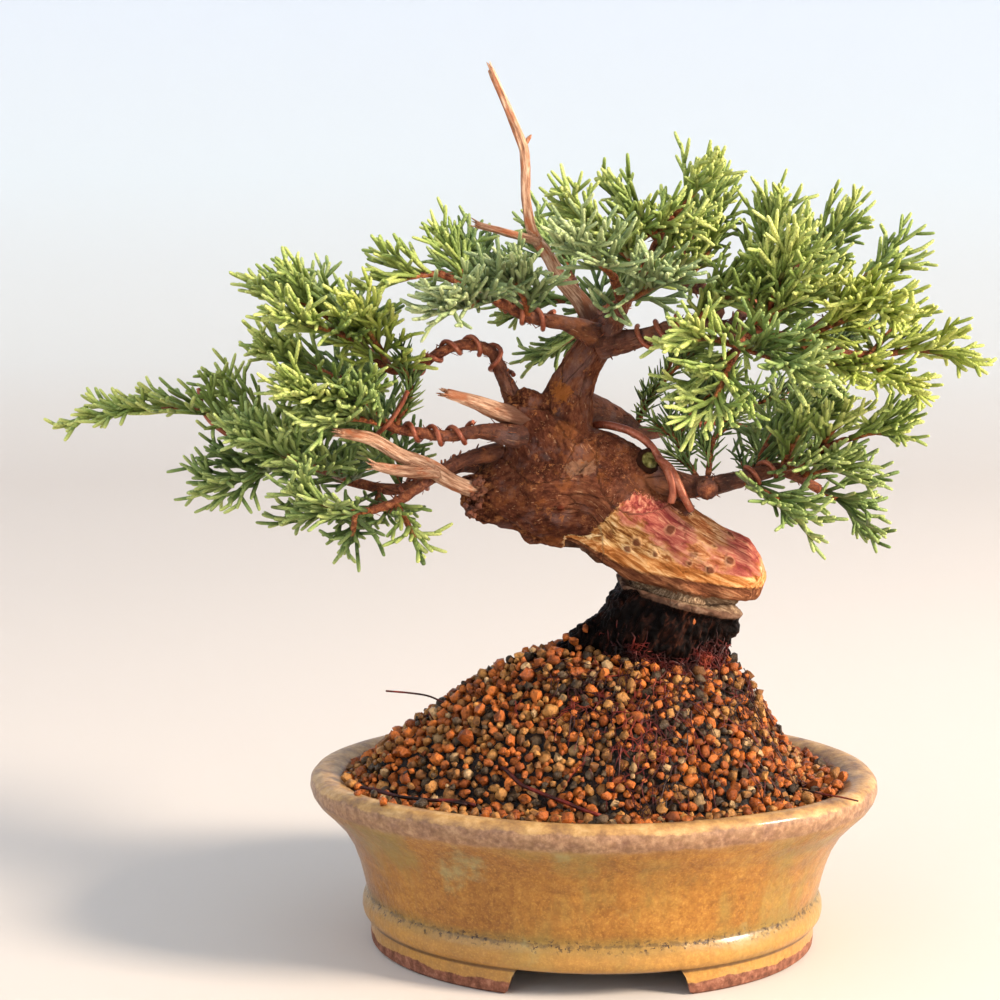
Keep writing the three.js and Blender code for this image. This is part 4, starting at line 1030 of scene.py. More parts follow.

# Under it come a band of orange wood, its brown edge with a dark line, and the dead strip with its crack; the
# strip's grey and brown are darkened as painted shade under the overhanging fold.
ring = plus(tree, layers["X"], swing(tree, streaks, 0.35))
ring = plus(tree, ring, swing(tree, blotches, 0.25))
glow = colours(tree, streaks, (0.32, "#824A22"), (0.46, "#BC743C"), (0.56, "#E0A568"), (0.68, "#FAD6A0"))
surface = blend(tree, between(tree, ring, 0.02, -0.12), surface, glow)
lip_wood = colours(tree, streaks, (0.3, "#341A10"), (0.46, "#6C402A"), (0.58, "#966242"), (0.7, "#BC906A"))
surface = blend(tree, between(tree, ring, -0.66, -0.84), surface, lip_wood)
dark_line = between(tree, gap_to(tree, ring, -0.8), 0.12, 0.02)
dark_line = times(tree, dark_line, between(tree, patches, 0.4, 0.6))
surface = wash(tree, surface, "#3A1C10", dark_line, 0.8)
# Painted shade: the dead strip's own silver-grey and brown are darkened where the fold overhangs it, most at
# the left.
silver_in_shade = colours(tree, fine_streaks, (0.3, "#4A3728"), (0.5, "#7E654E"), (0.68, "#C2A888"))
brown_in_shade = colours(tree, streaks, (0.3, "#2E1A12"), (0.55, "#6B4532"), (0.7, "#8F6950"))
strip_in_shade = blend(tree, layers["Z"], brown_in_shade, silver_in_shade)
surface = blend(tree, between(tree, ring, -1.38, -1.46), surface, strip_in_shade)
surface = wash(tree, surface, "#3A2A20", between(tree, gap_to(tree, ring, -1.72), 0.05, 0.02), 0.8)

# Below the roll of callus the stump is soaked nearly black.
callus_tone = colours(tree, blotches, (0.34, "#3E2A20"), (0.5, "#64493A"), (0.66, "#8C7460"))
surface = blend(tree, between(tree, ring, -1.8, -1.95), surface, callus_tone)
soaked = colours(tree, streaks, (0.4, "#040202"), (0.51, "#0A0504"), (0.6, "#24110B"), (0.7, "#4C2A1C"))
low = between(tree, ring, -2.72, -2.95)
surface = blend(tree, low, surface, soaked)

# Knots are dark with a pale rim, broken ends are ragged, and the scar is green with a dark edge. The broken
# ends' dark browns are also painted shade in the front of the hollow over the left corner and in the groove
# along the ledge.
pale_rim = times(tree, between(tree, marks["X"], 0.15, 0.4), times(tree, bare_share, 0.28))
surface = blend(tree, pale_rim, surface, "#DDB283")
surface = wash(tree, surface, "#5C2A1C", between(tree, marks["X"], 0.4, 0.72), 0.85)
end_noise = mottle(tree, where, 500, 4, 0.7)
ragged_end_and_shade = colours(tree, end_noise, (0.35, "#1F100B"), (0.5, "#5A3222"), (0.65, "#A06A42"))
surface = blend(tree, between(tree, marks["Y"], 0.3, 0.8), surface, ragged_end_and_shade)
scar_edge = between(tree, gap_to(tree, marks["Z"], 1.05), 0.24, 0.12)
surface = blend(tree, scar_edge, surface, "#2C1810")
healed = colours(tree, mottle(tree, where, 420, 3), (0.35, "#4E4A24"), (0.5, "#7E7A45"), (0.66, "#A7A372"))
surface = blend(tree, between(tree, marks["Z"], 0.98, 0.88), surface, healed)
tree.links.new(surface, shader.inputs["Base Color"])
dryness = times(tree, calc(tree, "SUBTRACT", 1.0, low, clamp=True), 0.3)
rough = plus(tree, plus(tree, dryness, times(tree, blotches, 0.45)), 0.28)
tree.links.new(rough, shader.inputs["Roughness"])
bumps = relief(tree, bark.outputs["Height"], 0.5 * MM)
bumps = relief(tree, streaks, 0.5 * MM, bumps)
bumps = relief(tree, mottle(tree, where, 900, 4, 0.7), 0.3 * MM, bumps)
tree.links.new(bumps, shader.inputs["Normal"])
trunk.data.materials.append(trunk_finish)
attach(trunk, "root")
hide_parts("trunk")

# ---------- branches ----------
# The living branches leave the trunk in bends that wires have set, under thin bark that flakes off in scales.
# Dead ones have lost their bark: they are pale, fibrous spikes, brown at the foot, that end in splinters.
LIMBS = {
    "left_arch": [
        (-23, -2, 157, 3.2), (-26, -3, 164, 2.2), (-30, -5, 172, 1.8), (-37, -8, 174, 1.6),
        (-44, -10, 172, 1.5), (-50, -10, 168, 1.4), (-58, -9, 167, 1.3), (-65, -8, 173, 1.2),
        (-72, -7, 179, 1.1),
    ],
    "left_middle": [
        (-21, -6, 148, 4), (-33, -13, 150, 2.1), (-41, -16, 149, 1.8), (-49, -18, 150, 1.6),
        (-58, -18, 152, 1.4), (-66, -16, 159, 1.2), (-73, -15, 165, 1.1),
    ],
    "left_low": [
        (-27, 0, 143, 3), (-38, -6, 141, 2.1), (-48, -15, 136, 1.8), (-56, -22, 131, 1.4),
        (-63, -23, 129, 1.2),
    ],
    "left_long": [
        (-25, 5, 138, 4.5), (-38, 11, 138, 2.4), (-48, 11, 134, 2), (-56, 8, 131, 1.8), (-71, 4, 134, 1.5),
        (-85, 2, 139, 1.3), (-96, 1, 144, 1.1),
    ],
    "crown_left": [
        (1, -2, 176, 4), (-9, -8, 180, 2.2), (-19, -12, 182, 1.8), (-29, -14, 187, 1.5),
        (-37, -15, 191, 1.2), (-44, -16, 194, 1),
    ],
    "crown_up": [
        (3, 2, 178, 4), (8, -1, 186, 2.2), (13, -5, 195, 1.7), (17, -7, 203, 1.3), (21, -7, 210, 1),
    ],
    "crown_back": [(2, 6, 176, 4), (0, 20, 182, 2.2), (-4, 34, 185, 1.7), (-5, 46, 191, 1.2)],
    "crown_front": [(4, -3, 177, 3.4), (6, -20, 186, 1.7), (3, -32, 194, 1.2)],
    "right_long": [
        (2, -2, 174, 4.6), (12, -9, 176, 2.8), (25, -15, 180, 2.3), (39, -19, 179, 1.9),
        (55, -19, 176, 1.6), (70, -17, 172, 1.3), (80, -15, 172, 1.1),
    ],
    "right_curl": [
        (25, -15, 180, 2.3), (33, -12, 183, 2.2), (31, -4, 189, 2), (25, 6, 191, 1.6), (25, 12, 197, 1.2),
    ],
    "right_front": [(39, -19, 179, 1.9), (37, -34, 175, 1.4), (33, -48, 171, 1.1)],
    "right_inner": [(36, -18, 179, 1.9), (45, 2, 186, 1.6), (56, 20, 192, 1.2)],
    "right_outer": [(55, -19, 176, 1.6), (66, -10, 183, 1.3), (75, -2, 192, 1)],
    "low_right": [
        (14, -4, 136, 5.5), (29, -9, 134, 3.2), (41, -7, 136, 2.5), (53, -2, 138, 2), (65, 3, 132, 1.4),
    ],
    "low_right_fork": [(53, -2, 138, 1.9), (62, -8, 144, 1.4), (71, -11, 148, 1)],
    "low_right_stub": [(31, -8, 134, 3.4), (31, -15, 134, 3)],
    "back_right": [
        (-6, 4, 157, 5), (8, 18, 151, 3), (15, 26, 146, 2.2), (27, 36, 147, 1.6), (40, 44, 148, 1.2),
    ],
}
DEAD = {
    "left_jin": [
        (-26, -2, 131, 1.8), (-35, -8.5, 133, 2.1), (-41, -13, 136, 2.3), (-47, -17, 140, 2.5),
        (-55, -21, 144, 2), (-63, -25, 149, 1.7), (-71, -28, 151, 1.2),
    ],
    "left_jin_fork": [(-46, -17, 139, 1.9), (-55, -24, 140, 1.6), (-62, -28, 142, 1)],
    "short_jin": [(-19, -4, 152.5, 3), (-27, -9.5, 155, 2.7), (-34, -13.5, 158, 2), (-42, -17, 161, 1.2)],
    "top_jin": [
        (1, 4, 175, 3.4), (-4, 6, 185, 2.4), (-10, 6, 192, 2), (-14, 5, 199, 1.8), (-18, 4, 205, 1.6),
        (-20, 2, 214, 1.3), (-20.6, 1, 228, 1.3), (-24, 0, 237, 1.1), (-30, 0, 250.6, 0.8),
    ],
    "top_jin_fork": [(-17, 4, 203, 1.3), (-25, 0, 205, 1.1), (-34, -4, 207.5, 0.9)],
}


def relief_of(piece, amounts):
    """Pushes each point of a piece out along its normal, by millimetres."""
    ways = np.empty(3 * len(piece.data.vertices))
    piece.data.vertices.foreach_get("normal", ways)
    put_places(piece.data, places_of(piece.data) + ways.reshape(-1, 3) * amounts[:, None])


points, faces = joined([skin(path, sides=14, steps=9) for path in LIMBS.values()])
branches = piece_of("branches", [spot(*p) for p in points], faces)
finish_mesh(branches, degrees=80)
rest = places_of(branches.data)
scales = smooth(cracked(rest * np.array([0.7, 1, 1]), 1.9, 31), 0.02, 0.3)
relief_of(branches, 0.22 * speckled(rest, 2.4, 33) + 0.14 * speckled(rest, 0.9, 34) - 0.22 * (1 - scales))
runs = nearest_run(rest, list(LIMBS.values()))
store(branches, "grain", runs * MM)
girth = np.hypot(runs[:, 0], runs[:, 1])
store(branches, "age", smooth(girth, 1.0, 2.4))
branch_finish, tree, shader = new_finish("branch_bark", Roughness=0.72, Specular_IOR_Level=0.35)
bark = put(tree, "ShaderNodeGroup", {"Grain": stored(tree, "grain"), "Bloom": 0.4}, node_tree=bark_look)
flakes = mottle(tree, surface_place(tree), 640, 4, 0.7)
young = colours(tree, flakes, (0.32, "#3E1A10"), (0.46, "#7A3C24"), (0.56, "#A85E38"), (0.7, "#CF8A58"))
aged = blend(tree, stored(tree, "age", "Fac"), young, bark.outputs["Color"])
tree.links.new(aged, shader.inputs["Base Color"])
bumps = relief(tree, bark.outputs["Height"], 0.5 * MM)
tree.links.new(relief(tree, flakes, 0.5 * MM, bumps), shader.inputs["Normal"])
branches.data.materials.append(branch_finish)
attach(branches, "root")
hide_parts("trunk")


def split_grain(angle, t):
    """The ridges and furrows of wood that has lost its bark."""
    return 1 + 0.13 * math.sin(3 * angle + 3 * t) + 0.08 * math.sin(7 * angle - 5 * t)


points, faces = joined([skin(path, sides=16, steps=12, shape=split_grain) for path in DEAD.values()])
spikes = piece_of("dead_branches", [spot(*p) for p in points], faces)
finish_mesh(spikes, degrees=60)
rest = places_of(spikes.data)
runs = nearest_run(rest, list(DEAD.values()))
fibre = speckled(runs * np.array([1, 1, 0.12]), 0.7, 41)
relief_of(spikes, 0.16 * fibre + 0.12 * speckled(rest, 2.5, 42))
store(spikes, "grain", runs * MM)
feet = [np.array(path[0][:3]) for name, path in DEAD.items() if "fork" not in name]
gap = np.min([np.linalg.norm(rest - place, axis=1) for place in feet], axis=0)
store(spikes, "foot", smooth(gap + 1.8 * speckled(rest, 2, 43), 13, 8))
dead_finish, tree, shader = new_finish("bleached_wood", Roughness=0.78, Specular_IOR_Level=0.3)
grain = stored(tree, "grain")
streaks = mottle(tree, stretched(tree, grain, (1, 1, 0.12)), 1300, 5, 0.7)
wood = colours(tree, streaks, (0.32, "#6C432F"), (0.45, "#A87A5E"), (0.55, "#CDA284"), (0.7, "#E8CCB2"))
stain = mottle(tree, stretched(tree, grain, (1, 1, 0.4)), 330, 3, 0.6)
wood = wash(tree, wood, "#AC5A2E", between(tree, stain, 0.5, 0.62), 0.65)
wood = wash(tree, wood, "#5A3526", stored(tree, "foot", "Fac"), 0.9)
tree.links.new(wood, shader.inputs["Base Color"])
tree.links.new(relief(tree, streaks, 0.6 * MM), shader.inputs["Normal"])
spikes.data.materials.append(dead_finish)
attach(spikes, "root")
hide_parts("trunk")

# ---------- training wires ----------
# Copper-brown annealed wire is wound round the branches that are being bent, and is left on while they set.
# A thicker one comes over the fold of the trunk and doubles back under the low right branch.
# Each coil: its limb, the shares of the limb's length between which it winds, and its pitch.
COILS = {
    "wire_left_arch": ("left_arch", 0.13, 0.66, 7),
    "wire_left_middle": ("left_middle", 0.2, 0.6, 6.5),
    "wire_left_long": ("left_long", 0.2, 0.52, 7),
    "wire_crown_left": ("crown_left", 0.26, 0.52, 6),
    "wire_right_long": ("right_long", 0.17, 0.32, 6),
    "wire_low_right": ("low_right", 0.55, 0.71, 6),
}
WIRE_RADIUS = 0.72
TURN_STEPS = 14
GUIDE_STRANDS = [
    [
        (-2, 7, 149, 1.2), (1.6, 2.4, 150.6, 1.2), (5, 0, 150.4, 1.2), (10.3, -2.5, 149, 1.2),
        (14.9, -4.5, 146, 1.2), (18, -7, 141.8, 1.2), (20.3, -11.8, 138.2, 1.2), (21.6, -12.8, 133.5, 1.2),
        (21, -12.6, 130, 1.1),
    ],
    [
        (17.5, -7.6, 142, 1.1), (20.6, -10.6, 139.6, 1.2), (22.8, -12.8, 135.6, 1.2),
        (24.6, -13.4, 131.8, 1.2), (26.8, -12.6, 127.8, 1.1),
    ],
]
FREE_ENDS = {
    "wire_left_middle": [(-61, -20, 150), (-57.5, -22.5, 153.5), (-54.5, -23.5, 158), (-52.5, -24, 162)],
    "wire_left_long": [
        (-90, 1, 142.6), (-99.7, -1, 144.8), (-106, -1, 148.3), (-111.4, 0, 153.1), (-113.7, 2, 160.7),
    ],
}


def coil(path, start, end, pitch):
    """The middle line of a wire wound round a limb between two shares of its length."""
    made = stations(path, 12)
    first, last = round(start * (len(made) - 1)), round(end * (len(made) - 1))
    run = sum((made[k + 1][0] - made[k][0]).length for k in range(first, last))
    count = round(run / pitch * TURN_STEPS)
    line = []
    for i in range(count + 1):
        place = first + (last - first) * i / count
        k = min(int(place), last - 1)
        _, _, normal, side, radius, _ = made[k]
        angle = 2 * math.pi * i / TURN_STEPS
        middle = made[k][0].lerp(made[k + 1][0], place - k)
        out = math.cos(angle) * normal + math.sin(angle) * side
        line.append((*(middle + out * (radius + WIRE_RADIUS - 0.05)), WIRE_RADIUS))
    return line


copper, tree, shader = new_finish("copper_wire", Metallic=0.35, Specular_IOR_Level=0.5)
where = surface_place(tree)
tarnish = mottle(tree, where, 210, 4, 0.6)
scratches = mottle(tree, where, 1500, 3, 0.7)
skin_tone = colours(tree, tarnish, (0.32, "#6E3524"), (0.5, "#9A5138"), (0.66, "#B87052"))
dusty = wash(tree, skin_tone, "#C9A48C", between(tree, scratches, 0.55, 0.68), 0.35)
tree.links.new(dusty, shader.inputs["Base Color"])
rough = put(tree, "ShaderNodeMapRange", {"Value": tarnish, "To Min": 0.28, "To Max": 0.55}).outputs[0]
tree.links.new(rough, shader.inputs["Roughness"])
tree.links.new(relief(tree, scratches, 0.06 * MM), shader.inputs["Normal"])
strands = {}
for name, (limb, *turns) in COILS.items():
    strands[name] = [skin(coil(LIMBS[limb], *turns), sides=8, steps=1)]
strands["wire_guide"] = [skin(path, sides=12, steps=6) for path in GUIDE_STRANDS]
for name, path in FREE_ENDS.items():
    strands[name].append(skin([(*place, WIRE_RADIUS) for place in path], sides=8, steps=6))
for name, skins in strands.items():
    points, faces = joined(skins)
    strand = piece_of(name.replace("wire_", "copper_"), [spot(*p) for p in points], faces)
    finish_mesh(strand, degrees=60)
    strand.data.materials.append(copper)
    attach(strand, "root")
    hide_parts(name)

# ---------- foliage ----------
# Each shoot is a woody stem with flat sprays of cord-like branchlets, clad in small overlapping scale leaves.
# The branchlets fork on alternate sides at a sharp angle and end in blunt, lighter green tips.
# Each shoot: the line of its stem, the reach of its sprays, and which of TONES it wears.
SHOOTS = {
    "left_tip": ([(-96, 1, 144), (-111, -2, 154), (-127, -5, 155), (-140, -7, 154), (-151, -8, 151)], 9, 1),
    "left_rise": ([(-85, 2, 139), (-94, 8, 148), (-103, 10, 157), (-108, 10, 162)], 10, 1),
    "left_fall": ([(-85, 2, 139), (-95, -6, 138), (-104, -10, 135), (-110, -12, 137)], 12, 0),
    "left_low_front": ([(-71, 4, 134), (-79, -16, 140), (-89, -28, 146), (-97, -34, 150)], 14, 0),
    "left_low_back": ([(-71, 4, 134), (-80, 24, 137), (-93, 38, 140), (-103, 46, 142)], 14, 0),
    "left_under": ([(-62, 6, 132), (-64, -2, 126), (-78, -4, 125), (-89, -6, 123)], 11, 0),
    "left_over": ([(-56, 8, 131), (-62, 18, 141), (-72, 26, 147), (-84, 30, 150)], 14, 0),
    "low_tip": ([(-63, -23, 129), (-70, -28, 129), (-77, -33, 133), (-84, -37, 136)], 10, 0),
    "low_hanging": ([(-56, -22, 131), (-52, -28, 125), (-48, -33, 116)], 6, 1),
    "arch_tip": ([(-72, -7, 179), (-83, -9, 186), (-96, -10, 189)], 13, 1),
    "arch_front": ([(-65, -8, 173), (-71, -26, 178), (-79, -36, 181), (-84, -42, 183)], 12, 1),
    "arch_back": ([(-65, -8, 173), (-72, 14, 181), (-82, 28, 185), (-89, 34, 188)], 12, 0),
    "arch_bright": ([(-58, -9, 167), (-62, -24, 177), (-68, -32, 185)], 11, 2),
    "middle_tip": ([(-73, -15, 165), (-84, -17, 170), (-94, -19, 172)], 12, 1),
    "middle_front": ([(-66, -16, 159), (-74, -34, 161), (-83, -46, 163)], 13, 1),
    "middle_back": ([(-66, -16, 159), (-75, 6, 162), (-85, 22, 165)], 13, 0),
    "middle_low": ([(-58, -18, 152), (-67, -30, 155), (-78, -38, 154)], 12, 0),
    "middle_fan": ([(-56, -18, 152), (-52, -17.5, 161), (-54, -18, 169)], 6, 0),
    "crown_left_tip": ([(-44, -16, 194), (-52, -18, 193), (-61, -20, 190)], 10, 1),
    "crown_left_rise": ([(-37, -15, 191), (-39, -12.2, 198), (-44, -10.5, 204)], 9, 1),
    "crown_left_front": ([(-29, -14, 187), (-35, -34, 186), (-43, -48, 185)], 13, 3),
    "crown_left_back": ([(-29, -14, 187), (-33, 10, 193), (-39, 26, 198)], 13, 0),
    "crown_left_middle": ([(-19, -12, 182), (-22, -24, 190), (-28, -32, 197)], 12, 3),
    "crown_tip": ([(21, -7, 210), (27, -9, 217), (32, -11, 223)], 10, 1),
    "crown_rise": ([(17, -7, 203), (9, -4, 212), (1, 0, 219)], 10, 1),
    "crown_far": ([(13, -5, 195), (1, -14, 205), (-11, -18, 217)], 11, 1),
    "crown_front_tip": ([(3, -32, 194), (-3, -45, 198.8), (-10, -56, 202.5)], 12, 3),
    "crown_front_right": ([(6, -20, 186), (12, -36, 190), (17, -48, 194)], 12, 3),
    "crown_back_tip": ([(-5, 46, 191), (-9, 57, 199.8), (-15, 64, 207.5)], 12, 0),
    "crown_back_left": ([(-4, 34, 185), (-15, 44, 184), (-25, 50, 179)], 12, 0),
    "crown_back_right": ([(0, 20, 182), (11, 38, 188), (23, 48, 195)], 12, 0),
    "right_tip": ([(80, -15, 172), (91, -14, 173), (104, -14, 169)], 11, 2),
    "right_low": ([(70, -17, 172), (76, -28, 168), (82, -34, 164)], 11, 2),
    "right_outer_tip": ([(75, -2, 192), (81, 0, 196), (87, 2, 195)], 10, 1),
    "right_outer_front": ([(66, -10, 183), (71, -26, 186), (79, -38, 183)], 13, 2),
    "right_inner_tip": ([(56, 20, 192), (67, 28, 201), (76, 32, 210)], 13, 1),
    "right_inner_rise": ([(45, 2, 186), (48, 4, 200), (51, 6, 214)], 12, 1),
    "right_curl_tip": ([(25, 12, 197), (31, 19, 207), (37, 26, 219)], 12, 1),
    "right_middle": ([(46, -19, 178), (47, -30, 190), (52, -36, 203)], 14, 1),
    "right_front_tip": ([(33, -48, 171), (29, -58.2, 164), (25, -64.5, 158)], 11, 1),
    "right_front_left": ([(37, -34, 175), (26, -50, 178), (16, -58, 176)], 11, 1),
    "right_front_right": ([(37, -34, 175), (46, -50, 172), (54, -56, 167)], 12, 0),
    "right_back": ([(62, -18, 174), (68, 6, 174), (79, 22, 176)], 14, 0),
    "low_right_tip": ([(65, 3, 132), (72, 1, 128), (77, 0, 121)], 11, 0),
    "low_right_rise": ([(71, -11, 148), (78, -13, 150), (83, -14, 149)], 10, 1),
    "low_right_fall": ([(41, -7, 136), (52, -16, 130), (60, -20, 121)], 10, 0),
    "low_right_back": ([(41, -7, 136), (53, 16, 142), (65, 30, 147)], 14, 0),
    "back_right_tip": ([(40, 44, 148), (54, 50, 153), (67, 52, 154)], 13, 0),
}
FORKS = {
    "low_tip": [[(-67, -26, 129), (-68, -19, 123), (-70, -17, 118)]],
    "crown_far": [
        [(7, -9, 200), (16, -17, 206), (26, -22, 208)],
        [(8, -1, 186), (18, -6, 193), (29, -10, 197)],
    ],
    "crown_tip": [[(13, -5, 195), (22, -8, 203), (29, -9, 210)]],
    "right_curl_tip": [[(25, 6, 191), (31, 2, 199), (35, -2, 209)]],
    "right_middle": [
        [(25, -15, 180), (33, -23, 187), (43, -28, 193)],
        [(39, -19, 179), (49, -26, 185), (60, -30, 190)],
        [(39, -19, 179), (49, -14, 172), (60, -12, 168)],
    ],
    "right_outer_front": [[(55, -19, 176), (65, -24, 181), (76, -27, 185)]],
    "right_front_left": [[(37, -34, 175), (28, -40, 168), (20, -42, 160)]],
    "crown_back_right": [[(4, 27, 184), (-6, 33, 174), (-17, 37, 166)]],
    "right_low": [
        [(73, -22, 170), (82, -10, 178), (91, -6, 183)],
        [(55, -19, 176), (63, -27, 170), (72, -31, 166)],
    ],
    "low_right_rise": [
        [(62, -8, 144), (66, -14, 151), (72, -20, 156)],
        [(53, -2, 138), (56, -5, 146), (60, -7, 154)],
    ],
    "low_right_tip": [
        [(59, 1, 136), (67, -8, 139), (76, -14, 136)],
        [(53, -2, 138), (58, -12, 141), (66, -20, 143)],
        [(61, 2, 134), (66, 10, 138), (74, 16, 138)],
    ],
    "low_right_back": [
        [(47, 5, 139), (52, 6, 148), (58, 4, 155)],
        [(53, 16, 142), (62, 18, 149), (72, 16, 152)],
    ],
    "back_right_tip": [
        [(27, 36, 147), (35, 38, 156), (42, 40, 163)],
        [(40, 44, 148), (51, 40, 145), (60, 36, 139)],
    ],
}
NEEDLED_FORKS = {
    "back_right_tip": [
        [(13, 24, 148), (17, 23, 156), (24, 22, 165), (31, 21, 171)],
        [(24, 33, 147), (33, 30, 155), (40, 28, 165)],
    ],
    "low_right_back": [
        [(29, -6, 136), (25, 2, 143), (21, 6, 151)],
        [(32, -6, 137), (34, 1, 146), (38, 5, 155)],
    ],
}
YOUNG_SHOOTS = ("right_back", "low_right_back", "back_right_tip", "middle_fan")
# foliage_deep and foliage_light are darker and lighter copies of one green: painted shade on the low, left
# and back shoots, and painted light on the sunlit shoots at the right and on one at the top left.
TONES = ("foliage_deep", "foliage_mid", "foliage_light", "foliage_grey")
CORD_SIDES = 5
CORD_STEPS = np.array([0.0, 0.36, 0.76, 0.95])
BLUNT = np.array([0.94, 1.0, 0.98, 0.74])
POINTED = np.array([0.6, 1.0, 0.72, 0.3])
CORD_RADII = (0.82, 0.74, 0.66, 0.6)
CORD_SPACING = (3.9, 3.7, 3.6)
LONGEST_CORD = (15, 13, 7)
LEAF_LENGTH = 1.15
THIRD_TURN = 2.094
WHORL_TWIST = 0.9
FORK_REACH = 0.85
NEEDLED_REACH = 9
UP = Vector((0, 0, 1))


def cord_pattern():
    """The corners of one cord's faces in turn, where each face starts, and how far round each corner lies."""
    corners, starts, rounds = [], [], []
    for k in range(len(CORD_STEPS) - 1):
        for i in range(CORD_SIDES):
            a, b = k * CORD_SIDES + i, k * CORD_SIDES + (i + 1) % CORD_SIDES
            starts.append(len(corners))
            corners += [a, b, b + CORD_SIDES, a + CORD_SIDES]
            rounds += [i, i + 1, i + 1, i]
    last = (len(CORD_STEPS) - 1) * CORD_SIDES
    for i in range(CORD_SIDES):
        starts.append(len(corners))
        corners += [last + i, last + (i + 1) % CORD_SIDES, last + CORD_SIDES]
        rounds += [i, i + 1, i + 0.5]
    starts.append(len(corners))
    corners += list(range(CORD_SIDES - 1, -1, -1))
    rounds += list(range(CORD_SIDES - 1, -1, -1))
    return np.array(corners), np.array(starts), np.array(rounds) / CORD_SIDES


def cord_mesh(name, cords):
    """One mesh of many cords. A cord has a start, a way, a bend sideways over its length, a length, a radius,
    how flat and how pointed it is, how light its tip is, and how brown it is."""
    # Every cord's frame: its way, and two directions across it.
    start, way, bend = [np.array([c[i] for c in cords]) for i in range(3)]
    length, radius, flat, point, light, brown = np.array([c[3:] for c in cords]).T
    lean = np.where(np.abs(way[:, 2:3]) < 0.9, np.array([[0, 0, 1.0]]), np.array([[1.0, 0, 0]]))
    normal = lean - way * (lean * way).sum(1)[:, None]
    normal /= np.linalg.norm(normal, axis=1)[:, None]
    side = np.cross(way, normal)

    # Rings of points round its bent middle line, thinner towards the end, and one point at the tip.
    steps = np.append(CORD_STEPS, 1.0)
    run = length[:, None] * steps
    middle = start[:, None] + way[:, None] * run[..., None] + bend[:, None] * (steps**2)[None, :, None]
    girth = radius[:, None] * (BLUNT * (1 - point[:, None]) + POINTED * point[:, None])
    angle = 2 * np.pi * np.arange(CORD_SIDES) / CORD_SIDES
    ring = np.cos(angle)[:, None] * (normal * flat[:, None])[:, None] + np.sin(angle)[:, None] * side[:, None]
    rings = middle[:, :-1, None] + girth[:, :, None, None] * ring[:, None]
    count = len(cords)
    points = np.concatenate([rings.reshape(count, -1, 3), middle[:, -1:]], 1)

    # The same faces for every cord.
    corners, starts, rounds = cord_pattern()
    size = points.shape[1]
    mesh = bpy.data.meshes.new(name)
    mesh.vertices.add(count * size)
    mesh.vertices.foreach_set("co", in_metres(points.reshape(-1, 3)).ravel())
    mesh.loops.add(count * len(corners))
    mesh.loops.foreach_set("vertex_index", (corners + size * np.arange(count)[:, None]).ravel())
    mesh.polygons.add(count * len(starts))
    mesh.polygons.foreach_set("loop_start", (starts + len(corners) * np.arange(count)[:, None]).ravel())
    mesh.update(calc_edges=True)
    mesh.validate()

    # The leaves' pattern runs round and along each cord from a place of its own, and each cord has its tone.
    tags = random.Random(name)
    offset = np.array([tags.uniform(0, 7) for _ in range(count)])
    tone = np.array([tags.random() for _ in range(count)])
    along = np.append(np.repeat(steps[:-1], CORD_SIDES), 1.0)
    v = run[:, :-1].repeat(CORD_SIDES, 1)
    v = np.concatenate([v, run[:, -1:]], 1) + offset[:, None]
    uv = np.stack([np.broadcast_to(rounds, (count, len(corners))), v[:, corners]], 2)
    mesh.uv_layers.new(name="leaves").data.foreach_set("uv", uv.astype(np.float32).ravel())
    lightness = light[:, None] * (0.5 + 0.5 * along)
    shade = np.stack([lightness, np.repeat(tone[:, None], size, 1), np.repeat(brown[:, None], size, 1)], 2)
    shade = np.concatenate([shade, np.ones((count, size, 1))], 2)
    piece = bpy.data.objects.new(name, mesh)
    bpy.context.collection.objects.link(piece)
    store(piece, "tint", shade.reshape(-1, 4))
    mesh.polygons.foreach_set("use_smooth", [True] * len(mesh.polygons))
    return piece


def branchlet(cords, rng, start, way, fan, length, level, light):
    """A cord, and the smaller ones that leave it on alternate sides in the plane across fan."""
    bend = UP * length * rng.uniform(-0.02, 0.14) + fan * length * rng.uniform(-0.08, 0.08)
    radius = CORD_RADII[level] * rng.uniform(0.92, 1.08)
    cords.append((start, way, bend, length, radius, 0.92, 0.0, light, 0.0))
    if level == 3:
        return
    spacing = CORD_SPACING[level]
    hand = rng.choice((-1, 1))
    place = spacing * rng.uniform(0.7, 1.2)
    while place < length - 0.9:
        share = place / length
        at = start + way * place + bend * share**2
        forward = (way + bend * (2 * share / length)).normalized()
        side = forward.cross(fan).normalized() * hand
        side = (side + fan * rng.uniform(-0.45, 0.45)).normalized()
        angle = math.radians(rng.uniform(24, 39))
        out = (forward * math.cos(angle) + side * math.sin(angle)).normalized()
        fullness = 0.55 + 0.45 * math.sin(math.pi * min(1, 0.3 + 0.75 * share))
        size = (0.62 * length + 2.4) * fullness * rng.uniform(0.7, 1.25)
        size = min(size, LONGEST_CORD[level], 1.3 * (length - place) + 3)
        if size > 2.6:
            new_fan = (fan - out * fan.dot(out)).normalized()
            branchlet(cords, rng, at, out, new_fan, size, level + 1, light)
        hand = -hand
        place += spacing * rng.uniform(0.85, 1.2)


def stem_cords(cords, line, radius, tip_radius, brown_until):
    """A stem as short lengths that overlap, woody at its foot and green towards its tip."""
    for k in range(len(line) - 1):
        share = k / (len(line) - 1)
        step = line[k + 1] - line[k]
        size = radius + (tip_radius - radius) * share
        brown = float(1 - smooth(share, brown_until - 0.2, brown_until + 0.15))
        way, length = step.normalized(), step.length * 1.25
        cords.append((line[k], way, Vector(), length, size, 1.0, 0.0, 0.2 * share, brown))


def stem_line(path, step, least):
    """Places along a stem's smooth curve, one at about every step."""
    length = sum((Vector(b) - Vector(a)).length for a, b in zip(path, path[1:]))
    count = max(least, round(length / step))
    return [curve_point([(*p, 1) for p in path], i / count)[0] for i in range(count + 1)]


